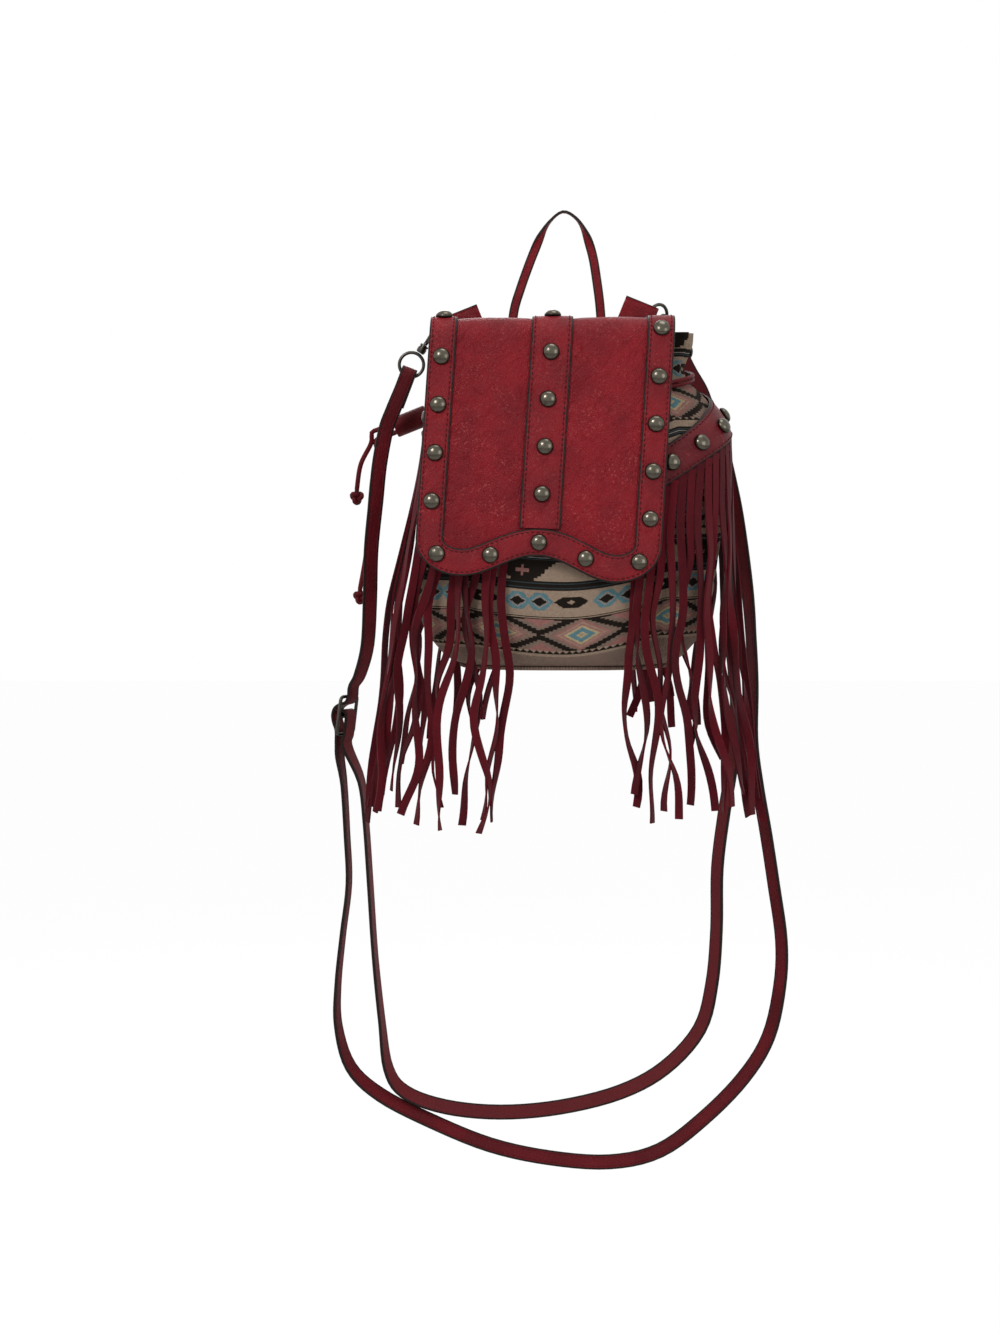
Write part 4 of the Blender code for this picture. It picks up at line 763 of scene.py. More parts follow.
def leather_material(name, light, dark, grain, crease, speck_and_glint, roughness, relief, specular):
    mat, board, shader = new_material(name, specular)
    leather = use_group(board, leather_grain, Grain_Size=grain, Crease_Depth=crease)
    colour = board.blend(leather["Blotch"], dark, light)
    # Pale specks mixed into the colour: partly the leather's own fleck, partly painted highlight.
    colour = board.blend(board.calc("MULTIPLY", leather["SpeckAndGlint"], speck_and_glint), colour, paint(180, 84, 80))
    edge = use_group(board, edge_paint, Leather=colour, Paint=EDGE_BROWN)
    board.feed(shader.inputs["Base Color"], edge["Colour"])
    rough = board.calc("MULTIPLY_ADD", leather["Height"], 0.14, roughness)
    board.feed(shader.inputs["Roughness"], rough)
    bump(board, shader, leather["Height"], 0.7, relief)
    return mat


panel_leather = leather_material(
    "panel_leather", paint(136, 20, 31), paint(114, 16, 26), 0.0012, 0.7, 0.50, 0.34, 0.0006, 0.16)
trim_leather = leather_material(
    "trim_leather", paint(132, 20, 30), paint(110, 15, 25), 0.0010, 0.6, 0.30, 0.34, 0.0004, 0.18)
strap_leather = leather_material(
    "strap_leather", paint(101, 19, 27), paint(82, 14, 21), 0.0009, 0.3, 0.10, 0.42, 0.0002, 0.12)
band_leather = leather_material(
    "band_leather", paint(106, 19, 28), paint(86, 14, 22), 0.0010, 0.4, 0.30, 0.38, 0.0003, 0.18)

# %% Suede
suede, board, shader = new_material("red_suede", 0.12)
nap = use_group(board, suede_nap, Light=paint(98, 17, 28), Dark=paint(42, 5, 12))
board.feed(shader.inputs["Base Color"], nap["Colour"])
shader.inputs["Roughness"].default_value = 0.95
shader.inputs["Sheen Weight"].default_value = 0.10
bump(board, shader, nap["Height"], 0.5, 0.00025)

# %% Cloth and lining
tapestry, board, shader = new_material("tapestry", 0.08)
weave = use_group(board, woven)
board.feed(shader.inputs["Base Color"], weave["Colour"])
shader.inputs["Roughness"].default_value = 0.85
bump(board, shader, weave["Height"], 0.6, 0.0002)

linen, board, shader = new_material("lining_linen", 0.15)
place = board.place()
sockets = {"Vector": place, "Scale": 260.0, "Distortion": 0.6}
warp, weft = (board.add("ShaderNodeTexWave", sockets, bands_direction=way).outputs["Fac"] for way in "ZX")
threads = board.calc("MULTIPLY", warp, weft)
board.feed(shader.inputs["Base Color"], board.blend(threads, paint(126, 116, 102), paint(164, 154, 138)))
shader.inputs["Roughness"].default_value = 0.9
bump(board, shader, threads, 0.4, 0.0002)


# %% Metals and thread
def metal_material(name, bright, tarnish_and_shade, polish):
    mat, board, shader = new_material(name)
    wear_and_shade = use_group(board, metal_wear_and_shade, Bright=bright, Tarnish=tarnish_and_shade, Polish=polish)
    board.feed(shader.inputs["Base Color"], wear_and_shade["Colour"])
    board.feed(shader.inputs["Roughness"], wear_and_shade["Roughness"])
    shader.inputs["Metallic"].default_value = 1.0
    bump(board, shader, wear_and_shade["Height"], 0.12, 0.0001)
    return mat


# The dark second colour is the metal's tarnish and also the painted shade at the studs' feet.
pewter = metal_material("antique_pewter", paint(92, 87, 77), paint(24, 21, 18), 0.16)
gunmetal = metal_material("dark_gunmetal", paint(78, 74, 68), paint(26, 23, 20), 0.22)

thread_red, board, shader = new_material("dark_red_thread", 0.2)
place = board.place()
ply = board.mottle(place, 2400.0, 2.0)
board.feed(shader.inputs["Base Color"], board.blend(ply, paint(40, 5, 10), paint(66, 9, 17)))
shader.inputs["Roughness"].default_value = 0.6
bump(board, shader, ply, 0.4, 0.0001)
print("materials:", sorted(m.name for m in bpy.data.materials))

# %% [markdown]
# ## The shoulder strap and its slider
# One long leather strap starts in a fold on the left eye, runs through the slider, hangs in a wide bow,
# turns round the right eye and comes back up inside the first bow to the slider's bar. A strap keeps its
# length, so its route is given point by point, as one would lay it on a table, and a smooth curve joins the
# points. Its cut has rounded, painted edges, and its width turns with the strap.

# %% Places of the hardware
YOKE_HALF = 0.072
YOKE_HEIGHT = 0.011
YOKE_THICK = 0.0014
YOKE_DROP = 0.0016
LOOP_WIDTH = 0.006
LOOP_THICK = 0.0016
LOOP_FEET = (-0.0335, 0.0255)
LOOP_Y = BACK_Y + GAP + YOKE_THICK + GAP + LOOP_THICK / 2
TAB_TAIL = 0.0100
TAB_NOSE = 0.0042
TAB_SINK = 0.0060
TAB_BEND = 0.0026
TAB_LENGTH = 0.018
TAB_REACH = 0.0115
TAB_THICK = 0.0013
TAB_TILT = math.radians(22)
TAB_LEFT = (-0.0600, -0.0640)
TAB_RIGHT = (0.0455, -0.0585)
RING_R = 0.0075
RING_WIRE = 0.0011
RING_LEAN = math.radians(38)
TAB_STANDOFF = 0.0034
HOOK_REACH = 0.0285
AIM_LEFT = Vector((-0.57, 0.0, -0.82))
AIM_RIGHT = Vector((0.365, 0.57, -0.735))
EYE_R = 0.0079
EYE_WIRE = 0.0011


def hardware_frame(sign):
    """Places of one side's tab and ring: directions, the tab's fold and the ring's far wire."""
    outward = Vector((sign * math.cos(TAB_TILT), 0, -math.sin(TAB_TILT)))
    across = Vector((sign * math.sin(TAB_TILT), 0, math.cos(TAB_TILT)))
    x, z = TAB_LEFT if sign < 0 else TAB_RIGHT
    fold = Vector((x, LOOP_Y + LOOP_THICK / 2 + TAB_STANDOFF, z)) + outward * TAB_REACH
    reach = outward * math.cos(RING_LEAN) + Vector((0, 1, 0)) * math.sin(RING_LEAN)
    return outward, across, fold, reach, fold + reach * RING_R, fold + reach * 2 * RING_R


def eye_centre(sign):
    """Centre of the eye that the strap runs through, at the end of the hook."""
    aim = AIM_LEFT if sign < 0 else AIM_RIGHT
    return hardware_frame(sign)[5] + aim.normalized() * HOOK_REACH


def eye_facing(sign):
    """Way square to the plane of the eye, as near to straight back as its hook allows."""
    axis = (AIM_LEFT if sign < 0 else AIM_RIGHT).normalized()
    depth = Vector((0, 1, 0))
    return (depth - axis * depth.dot(axis)).normalized()


def curve_point(p0, p1, p2, p3, t):
    """Point at share t of a smooth curve from p1 to p2."""
    a = p1 * 2
    b = (p2 - p0) * t
    c = (p0 * 2 - p1 * 5 + p2 * 4 - p3) * t * t
    d = (p1 * 3 - p0 - p2 * 3 + p3) * t**3
    return (a + b + c + d) / 2


def catmull(points, spacing):
    """Points of a smooth curve through the given ones, an even spacing apart."""
    pts = [Vector(p) for p in points]
    dense = []
    for i in range(len(pts) - 1):
        p0 = pts[max(i - 1, 0)]
        p1, p2 = pts[i], pts[i + 1]
        p3 = pts[min(i + 2, len(pts) - 1)]
        steps = max(2, int((p2 - p1).length / (spacing / 6)))
        for k in range(steps):
            dense.append(curve_point(p0, p1, p2, p3, k / steps))
    dense.append(pts[-1])
    total = sum((b - a).length for a, b in zip(dense, dense[1:]))
    count = max(2, round(total / spacing))
    even = [dense[0]]
    gone, target = 0.0, total / count
    for a, b in zip(dense, dense[1:]):
        step = (b - a).length
        while gone + step >= target and len(even) < count:
            even.append(a.lerp(b, (target - gone) / step))
            target += total / count
        gone += step
    even.append(dense[-1])
    return even


# %% Route of the strap: x, y, z and the turn of its width in degrees
STRAP_WIDTH = 0.010
STRAP_THICK = 0.0020
STRAP_Y = 0.038
PULL_LEFT = math.radians(-21)
PULL_RIGHT = math.radians(28)
SLIDER_X = -0.1425
SLIDER_Z = -0.3275
SLIDER_YAW = math.radians(38)
SLIDER_HALF_WIDTH = 0.0070
SLIDER_HALF_HEIGHT = 0.0115
SLIDER_WIRE = 0.0012
EYE_FOLD = [
    (0.0045, 0.0206), (0.0045, 0.0086), (0.0040, -0.0004), (0.0028, -0.0035), (0.0, -0.0049),
    (-0.0028, -0.0035), (-0.0040, -0.0004), (-0.0038, 0.0080),
]
OUTER_BOW = [
    (-0.1100, 0.0085, -0.1262, 84),
    (-0.1145, 0.0085, -0.1384, 80), (-0.1188, 0.0090, -0.1611, 76), (-0.1212, 0.0100, -0.1838, 72),
    (-0.1246, 0.0120, -0.2164, 66), (-0.1258, 0.0170, -0.2495, 62), (-0.1280, 0.0260, -0.2797, 54),
    (-0.1335, 0.0345, -0.3000, 44),
]
LOWER_BOW = [
    (-0.1475, 0.0395, -0.3560, 28), (-0.1448, 0.0380, -0.3745, 16),
    (-0.1430, 0.0380, -0.4078, 14), (-0.1418, 0.0370, -0.4412, 14),
    (-0.1457, 0.0330, -0.4747, 14), (-0.1490, 0.0290, -0.5083, 16), (-0.1487, 0.0250, -0.5353, 22),
    (-0.1402, 0.0210, -0.5624, 38), (-0.1203, 0.0180, -0.5807, 56), (-0.0870, 0.0160, -0.5977, 66),
    (-0.0471, 0.0150, -0.6140, 70), (-0.0070, 0.0150, -0.6229, 72), (0.0331, 0.0150, -0.6256, 72),
    (0.0664, 0.0160, -0.6181, 70), (0.0963, 0.0180, -0.5963, 66), (0.1227, 0.0200, -0.5692, 60),
    (0.1391, 0.0220, -0.5421, 52), (0.1467, 0.0250, -0.5083, 46), (0.1478, 0.0280, -0.4781, 44),
    (0.1428, 0.0320, -0.4412, 44), (0.1378, 0.0360, -0.4078, 44), (0.1322, 0.0400, -0.3745, 42),
    (0.1287, 0.0430, -0.3447, 40), (0.1290, 0.0450, -0.3080, 36), (0.1274, 0.0450, -0.2754, 34),
    (0.1245, 0.0450, -0.2426, 44), (0.1175, 0.0440, -0.1969, 56), (0.1110, 0.0430, -0.1676, 66),
    (0.1045, 0.0420, -0.1430, 76), (0.0985, 0.0405, -0.1260, 84),
]
INNER_BOW = [
    (0.0915, 0.0300, -0.1130, -88), (0.0957, 0.0300, -0.1250, -86), (0.0997, 0.0300, -0.1388, -82),
    (0.1030, 0.0300, -0.1584, -74), (0.1055, 0.0310, -0.1800, -64), (0.1080, 0.0320, -0.2100, -54),
    (0.1112, 0.0330, -0.2600, -44), (0.1150, 0.0320, -0.3000, -40), (0.1165, 0.0300, -0.3282, -40),
    (0.1135, 0.0270, -0.3613, -42),
    (0.1085, 0.0240, -0.3912, -44), (0.1040, 0.0210, -0.4278, -44), (0.1035, 0.0180, -0.4680, -44),
    (0.1005, 0.0160, -0.5050, -48), (0.0922, 0.0140, -0.5353, -56), (0.0694, 0.0130, -0.5610, -66),
    (0.0395, 0.0120, -0.5773, -70), (-0.0004, 0.0120, -0.5875, -72), (-0.0404, 0.0120, -0.5909, -72),
    (-0.0770, 0.0130, -0.5875, -66), (-0.1037, 0.0150, -0.5780, -52), (-0.1149, 0.0170, -0.5624, -32),
    (-0.1192, 0.0200, -0.5319, -18), (-0.1238, 0.0240, -0.4881, -14), (-0.1270, 0.0290, -0.4412, -14),
    (-0.1298, 0.0330, -0.4011, -14), (-0.1330, 0.0355, -0.3720, -20),
]
SLIDER_OVER = [
    (-0.0029, -0.0200), (-0.0029, -0.0130), (-0.0008, -0.0088), (0.0042, -0.0066), (0.0080, -0.0034),
    (0.0090, 0.0012), (0.0074, 0.0060), (0.0044, 0.0110), (0.0032, 0.0190),
]
SLIDER_END = [
    (-0.0032, 0.0210), (-0.0031, 0.0130), (-0.0031, 0.0060), (-0.0031, 0.0010), (-0.0023, -0.0021),
    (0.0, -0.0031), (0.0023, -0.0021), (0.0031, 0.0010), (0.0031, 0.0026),
]


# %% Follow the route
def slider_frame():
    """Centre of the slider, the way along its bars, the way down the strap and its face."""
    across = Vector((math.sin(SLIDER_YAW), math.cos(SLIDER_YAW), 0))
    down = Vector((-0.12, 0, -1)).normalized()
    return Vector((SLIDER_X, STRAP_Y, SLIDER_Z)), across, down, across.cross(down).normalized()


def eye_fold(sign):
    """Strap folded over the wire of an eye: rows of way back and way down from the wire."""
    lean = PULL_LEFT if sign < 0 else PULL_RIGHT
    pull = Vector((math.sin(lean), 0, -math.cos(lean)))
    facing = eye_facing(sign)
    wire = eye_centre(sign) + (pull - facing * pull.dot(facing)).normalized() * EYE_R
    return [(wire + Vector((0, back, 0)) + pull * down, math.pi / 2) for back, down in EYE_FOLD]


def strap_route():
    """Places of the whole route with the turn of the strap's width, None inside the slider."""
    centre, _, down, facing = slider_frame()
    route = eye_fold(-1)
    route += [(Vector(row[:3]), math.radians(row[3])) for row in OUTER_BOW]
    route += [(centre + facing * n + down * s, None) for n, s in SLIDER_OVER]
    route += [(Vector(row[:3]), math.radians(row[3])) for row in LOWER_BOW]
    route += eye_fold(1)
    route += [(Vector(row[:3]), math.radians(row[3])) for row in INNER_BOW]
    route += [(centre + facing * n + down * s, None) for n, s in SLIDER_END]
    return route


def strap_widths(places, turns):
    """Width direction of the strap at each place of its route, without a flip between two."""
    depth = Vector((0, 1, 0))
    across = slider_frame()[1]
    widths = []
    side = Vector((-1, 0, 0))
    for i, turn in enumerate(turns):
        along = way_at(places, i)
        if turn is None:
            width = across
        else:
            if along.cross(depth).length > 0.5:
                side = along.cross(depth).normalized()
            width = depth * math.cos(turn) + side * math.sin(turn)
        if widths and width.dot(widths[-1]) < 0:
            width = -width
        widths.append(width)
    return widths


def strap_stations(steps=5):
    """Middle, way across and way out of the strap, a few millimetres apart."""
    route = strap_route()
    places = [place for place, _ in route]
    widths = strap_widths(places, [turn for _, turn in route])
    middles, across = [], []
    for i in range(len(places) - 1):
        around = [places[min(max(i + k, 0), len(places) - 1)] for k in (-1, 0, 1, 2)]
        span = (around[2] - around[1]).length
        count = 2 if span < 0.004 else steps
        for k in range(count):
            middles.append(curve_point(*around, k / count))
            across.append(widths[i].lerp(widths[i + 1], k / count))
    middles.append(places[-1])
    across.append(widths[-1])
    stations = []
    for i, (middle, way) in enumerate(zip(middles, across)):
        along = way_at(middles, i)
        way = (way - along * way.dot(along)).normalized()
        stations.append((middle, way, way.cross(along).normalized(), 1.0))
    return stations


strap_line = strap_stations()
strap = strip_solid("strap_leather_long", strap_line, STRAP_WIDTH, STRAP_THICK, strap_leather)

# %% [markdown]
# ### Slider
# The slider is a bent and welded wire frame with a bar across its middle. A tube that follows a
# rounded rectangle gives the soft corners of bent wire, which a box with holes wouldn't.


# %% Slider frame and bar
def rounded_rectangle(half_width, half_height, radius, steps=6):
    points = []
    for cx, cy, first in ((1, 1, 0), (-1, 1, 90), (-1, -1, 180), (1, -1, 270)):
        for k in range(steps + 1):
            turn = math.radians(first + 90 * k / steps)
            points.append((cx * (half_width - radius) + radius * math.cos(turn),
                           cy * (half_height - radius) + radius * math.sin(turn)))
    return points


middle, across, down, facing = slider_frame()
outline = rounded_rectangle(SLIDER_HALF_WIDTH + SLIDER_WIRE, SLIDER_HALF_HEIGHT + SLIDER_WIRE, 0.0026)
wire = [middle + across * a + down * b for a, b in outline]
bar = [middle + across * (a * (SLIDER_HALF_WIDTH + SLIDER_WIRE)) for a in (-1, -0.5, 0, 0.5, 1)]
slider = join("slider_frame", [
    round_solid("slider_frame", wire, SLIDER_WIRE, gunmetal, 12, closed=True),
    round_solid("slider_bar", bar, SLIDER_WIRE, gunmetal, 12)])
print("slider:", round(2000 * (SLIDER_HALF_HEIGHT + 2 * SLIDER_WIRE), 1), "mm high")

# %% [markdown]
# ## The drawstring
# A pair of cords runs in the neck and its two ends leave it at the back, go through a leather toggle
# and hang behind the strap, each with a knot. The pair is two closed rings of cord, one above the
# other. A free end has a real length, so its route is given point by point as well.

# %% Sizes of the cords
CORD_R = 0.0016
NECK_CORD_Z = -0.102
NECK_CORD_DIP = 0.012
NECK_CORD_STAND = CORD_R + LAYER_GAP + 0.0010
NECK_CORD_SIDES = 56
LONG_EXIT = -2 * math.pi * 22 / NECK_CORD_SIDES
SHORT_EXIT = -2 * math.pi * 21 / NECK_CORD_SIDES
TOGGLE_R = 0.0068
TOGGLE_LENGTH = 0.023
TOGGLE_BORE = 0.0022
TOGGLE_CENTRE = Vector((-0.099, 0.033, -0.1325))
TOGGLE_AXIS = Vector((-0.93, 0.0, -0.37)).normalized()
CORD_SPREAD = 0.0030
KNOT_R = 0.0050
KNOT_SCALE = 0.00118
KNOT_STEPS = 72
PAIR_STEPS = 168
CORD_SPACING = 0.0025
PAIR_LIFT = 0.00135
PAIR_R = 0.00125
TOGGLE_SIDE = TOGGLE_AXIS.cross(Vector((0, 0, 1))).normalized().cross(TOGGLE_AXIS).normalized()


# %% Routes of the cords
def neck_cord_point(angle, reach=0.0):
    """Centre of the cord round the neck, or a point a reach outwards of it."""
    front = (1 + math.cos(angle)) / 2
    z = NECK_CORD_Z - NECK_CORD_DIP * front**2
    ripple = max(abs(gather(angle + d, z)) for d in (-0.1, -0.05, 0, 0.05, 0.1))
    return body_point(angle, z, NECK_CORD_STAND + ripple - gather(angle, z) + reach)


def leave_neck(angle, towards):
    """Start of a cord end that leaves the neck cord towards a point, its rim just clear of it."""
    centre = neck_cord_point(angle)
    out = (neck_cord_point(angle, CORD_R) - centre).normalized()
    way = (Vector(towards) - centre).normalized()
    lean = math.sqrt(max(0.0, 1 - out.dot(way) ** 2))
    return centre + out * (CORD_R * (1 + lean) + GAP)


def cord_routes():
    """Routes of the two free ends, given point by point, straight through the toggle, to their knots."""
    runs = {}
    for sign in (-1, 1):
        shift = TOGGLE_SIDE * (sign * CORD_SPREAD)
        runs[sign] = [TOGGLE_CENTRE + TOGGLE_AXIS * (TOGGLE_LENGTH * share) + shift
                      for share in (-1.15, -0.9, 0.9, 1.15)]
    long_first = (-0.0590, 0.0100, -0.1075)
    long_way = [leave_neck(LONG_EXIT, long_first), long_first, (-0.0655, 0.0260, -0.1155)]
    long_way += runs[-1]
    long_way += [
        (-0.1215, 0.0400, -0.1540), (-0.1250, 0.0450, -0.1690), (-0.1272, 0.0475, -0.1900),
        (-0.1295, 0.0480, -0.2180), (-0.1340, 0.0480, -0.2440),
    ]
    short_first = (-0.0640, 0.0080, -0.1030)
    short_way = [leave_neck(SHORT_EXIT, short_first), short_first, (-0.0700, 0.0250, -0.1085)]
    short_way += runs[1]
    short_way += [(-0.1255, 0.0345, -0.1470), (-0.1325, 0.0365, -0.1610), (-0.1352, 0.0380, -0.1774)]
    return long_way, short_way


# %% The two free ends
long_way, short_way = cord_routes()
ends = []
for name, way in (("cord_end_long", long_way), ("cord_end_short", short_way)):
    points = catmull(way, CORD_SPACING)
    ends.append((round_solid(name, points, CORD_R, strap_leather, 12), points))
    print(name, round(run_lengths(points)[-1], 4), "m")


# %% [markdown]
# ### Knots
# Each cord ends in a single overhand knot, pulled tight. A trefoil curve is that knot with its ends
# joined, so a cord swept along a trefoil, a little flattened, shows the same three turns.

# %% Overhand knots
def overhand(name, top):
    centre = Vector(top) + Vector((0, 0, -KNOT_R - GAP))
    points = []
    for k in range(KNOT_STEPS):
        t = 2 * math.pi * k / KNOT_STEPS
        x = math.sin(t) + 2 * math.sin(2 * t)
        y = math.cos(t) - 2 * math.cos(2 * t)
        z = -1.5 * math.sin(3 * t)
        points.append(centre + Vector((x, z, y)) * KNOT_SCALE)
    turns = round_solid(name, points, CORD_R, strap_leather, 10, closed=True)
    low = centre + Vector((0, 0, -KNOT_R + 0.0012))
    stub = [centre + Vector((0, 0, KNOT_R + GAP)), centre, low]
    return join(name, [turns, round_solid(name + "_stub", stub, CORD_R * 0.95, strap_leather, 10)])


knot_long = overhand("knot_turns_long", long_way[-1])
knot_short = overhand("knot_turns_short", short_way[-1])

# %% The pair of cords in the neck
neck_pair = []
for lift in (-1, 1):
    points = []
    for k in range(PAIR_STEPS):
        turn = 2 * math.pi * k / PAIR_STEPS
        points.append(neck_cord_point(turn) + Vector((0, 0, lift * PAIR_LIFT)))
    neck_pair.append(round_solid("neck_cord", points, PAIR_R, strap_leather, 10, closed=True))
neck_cords = join("neck_cords", neck_pair)
print("cords in the neck:", len(neck_pair))

# %% [markdown]
# ### Toggle
# The toggle is leather that is rolled tight and glued. A profile turned round the toggle's axis gives
# its soft rims, and two bores are cut through it for the cords.


# %% Toggle with its bores
def apply_modifiers(obj, name):
    """Plain mesh object of what the modifiers make, in place of the first one."""
    depsgraph = bpy.context.evaluated_depsgraph_get()
    mesh = bpy.data.meshes.new_from_object(obj.evaluated_get(depsgraph))
    bpy.data.objects.remove(obj, do_unlink=True)
    return new_object(name, mesh)


half = TOGGLE_LENGTH / 2
toggle_profile = [(0, -half)] + [(TOGGLE_R - r, h) for r, h in (
    (0.0030, -half), (0.0008, -half), (0.0002, 0.0004 - half), (0.0, 0.0010 - half), (0.0, -0.0040),
    (0.0, 0.0), (0.0, 0.0040), (0.0, half - 0.0010), (0.0002, half - 0.0004), (0.0008, half), (0.0030, half))]
toggle_profile.append((0, half))
toggle = lathe_mesh("toggle_raw", toggle_profile, 36, strap_leather, TOGGLE_CENTRE, TOGGLE_AXIS)
for sign in (-1, 1):
    start = TOGGLE_CENTRE + TOGGLE_SIDE * (sign * CORD_SPREAD)
    ends_of_bore = [start + TOGGLE_AXIS * (TOGGLE_LENGTH * share) for share in (-0.8, 0, 0.8)]
    cutter = round_solid("bore", ends_of_bore, TOGGLE_BORE, strap_leather, 16)
    cut = toggle.modifiers.new("bore", "BOOLEAN")
    cut.operation, cut.object, cut.solver = "DIFFERENCE", cutter, "EXACT"
toggle = apply_modifiers(toggle, "toggle_roll")
for obj in [o for o in bpy.data.objects if o.name.startswith("bore")]:
    bpy.data.objects.remove(obj, do_unlink=True)
finish_mesh(toggle, 50, outward=False)
print("toggle faces:", len(toggle.data.polygons))

# %% [markdown]
# ## The cloth body
# The body is a tube of cloth that is gathered at the neck and sewn to a stiff oval base. It is lofted:
# rings of points follow the table of levels, the ripples of the gathers grow towards the top, and small
# folds press it in between the neck and the band. The map of the cloth is kept in real lengths, so
# the weave has its true size, and its rows sag a little in the middle as they do on the bag.


# %% Folds and sag of the cloth
def press_in(angle, z):
    """Small folds, always inwards, so that the cloth stays under its band."""
    shoulder = math.exp(-((z + 0.128) / 0.020) ** 2)
    swirl = noise.noise(Vector((math.sin(angle) * 2.6, math.cos(angle) * 2.6, z * 26)))
    pleat = 0.5 + 0.5 * math.cos(GATHERS * angle + 0.8 * math.sin(3 * angle))
    lower = 0.5 + 0.5 * noise.noise(Vector((math.sin(angle) * 5, math.cos(angle) * 5, z * 40 + 7)))
    return -shoulder * (0.0012 * pleat + 0.0012 * (0.5 + swirl)) - 0.0006 * lower


def row_sag(length):
    """How far a woven row stands above its lowest place, by the length round from the front's middle."""
    if length < 0:
        return min(0.0060, 0.0028 * (length / 0.042) ** 2)
    return min(0.0120, 0.0078 * (length / 0.049) ** 1.7)


# %% Loft of a tube with a wall
def loft_tube(name, levels, sides, skin, wall, mat, folds=None):
    """Open tube: its outer face lies a skin's depth inside the body, its inner one a wall further."""
    turns = [2 * math.pi * i / sides - math.pi for i in range(sides)]
    outer, inner = [], []
    for z in levels:
        extra = [folds(turn, z) if folds else 0.0 for turn in turns]
        outer.append([body_point(turn, z, press - skin) for turn, press in zip(turns, extra)])
        inner.append([body_point(turn, z, press - skin - wall) for turn, press in zip(turns, extra)])
    rings = outer + inner[::-1]
    heights = list(levels) + list(levels)[::-1]
    widest = [body_point(turn, WIDEST_Z) for turn in turns]
    gone = run_lengths(widest, closed=True)
    middle = gone[sides // 2]
    gone = [value - middle for value in gone]
    verts = [p for ring in rings for p in ring]
    faces, lengths = [], []
    for r in range(len(rings)):
        nxt = (r + 1) % len(rings)
        for i in range(sides):
            j = (i + 1) % sides
            faces.append((r * sides + i, r * sides + j, nxt * sides + j, nxt * sides + i))
            for row, k in ((r, i), (r, i + 1), (nxt, i + 1), (nxt, i)):
                lengths.append((gone[k], heights[row] - row_sag(gone[k])))
    return finish_mesh(plain_object(name, verts, faces, mat, lengths), 60)


# %% Body, lining and base
CLOTH_ROWS, CLOTH_SIDES = 96, 224
LINING_ROWS, LINING_SIDES = 30, 96
BASE_SIDES = 96
PLAIN_EDGE = 0.004


def even_levels(low, high, rows):
    return [low + (high - low) * k / rows for k in range(rows + 1)]


bottom, top = BODY_LEVELS[0][0], BODY_LEVELS[-1][0]
body_levels = even_levels(bottom, top, CLOTH_ROWS)
body_cloth = loft_tube("body_cloth", body_levels, CLOTH_SIDES, 0.0, FABRIC, tapestry, press_in)
lining_levels = even_levels(bottom + BASE_BOARD, LINING_TOP, LINING_ROWS)
lining_skin = FABRIC + 2 * LAYER_GAP + 0.0016
lining_cloth = loft_tube("lining_cloth", lining_levels, LINING_SIDES, lining_skin, LINING, linen)

BASE_CUT = [
    (0.020, -1.0), (0.0012, -1.0), (0.0003, -0.85), (0.0, -0.5), (0.0003, -0.15), (0.0012, 0.0), (0.020, 0.0),
]
plain_level = bottom - PLAIN_EDGE
base_rings = []
for inset, lift in BASE_CUT:
    z = bottom - GAP + BASE_BOARD * lift
    half_width, depth, _ = BODY_LEVELS[0][1:]
    ring = [plan_point(2 * math.pi * i / BASE_SIDES, half_width, depth, inset) for i in range(BASE_SIDES)]
    base_rings.append([Vector((x, y, z)) for x, y in ring])
base_around = run_lengths(base_rings[0], closed=True)
base_heights = [plain_level - 0.001 * k for k in range(len(base_rings))]
base_cloth = sweep("base_cloth", base_rings, tapestry, base_heights, base_around)
for slot in base_cloth.data.uv_layers[0].data:
    slot.uv = (slot.uv[1], plain_level)
print("cloth faces:", len(body_cloth.data.polygons))

# %% [markdown]
# ## The flap
# The flap is one leather sheet that starts at the back seam, lies over the mouth, bends down over a
# round fold and hangs at the front a little askew. A border of leather is sewn along its sides and its
# wavy lower edge, and a strip down its middle. All of it follows one side view, swept across.

# %% Sizes of the flap
FLAP_HALF = 0.0748
FLAP_X = -0.008
FLAP_LEAN = 0.065
FLAP_RISE = 0.028
FLAP_DROOP = 0.045
FLAP_THICK = 0.0016
FLAP_TOP_Z = -0.071
FLAP_FOLD_Y = -0.074
FLAP_FOLD_R = 0.014
FLAP_SLANT = math.radians(6.5)
HINGE_Y = -0.002
NOTCH_DROP = 0.1445
LOBE_DROP = 0.1585
LOBE_U = 0.047
CORNER_RISE = 0.0225
TRIM_THICK = 0.0013
BORDER_WIDTH = 0.0166
STRIP_HALF = 0.0125
FOLD_TURN = math.pi / 2 - FLAP_SLANT
V_TOP_END = HINGE_Y - FLAP_FOLD_Y
V_FRONT = V_TOP_END + FLAP_FOLD_R * FOLD_TURN
FOLD_DROP = FLAP_FOLD_R * (1 - math.cos(FOLD_TURN))


def v_at_drop(drop):
    """Length along the flap of a point that lies this far below the flap's top."""
    return V_FRONT + (drop - FOLD_DROP) / math.cos(FLAP_SLANT)


def flap_section(v):
    """Side view of the flap's outer face: y, z and the outward normal at length v."""
    if v < V_TOP_END:
        return HINGE_Y - v, FLAP_TOP_Z, 0.0, 1.0
    if v < V_FRONT:
        turn = (v - V_TOP_END) / FLAP_FOLD_R
        ny, nz = -math.sin(turn), math.cos(turn)
        centre_z = FLAP_TOP_Z - FLAP_FOLD_R
        return FLAP_FOLD_Y + ny * FLAP_FOLD_R, centre_z + nz * FLAP_FOLD_R, ny, nz
    y, z, ny, nz = flap_section(V_FRONT - 1e-9)
    along = v - V_FRONT
    return y + nz * -along, z + ny * along, ny, nz


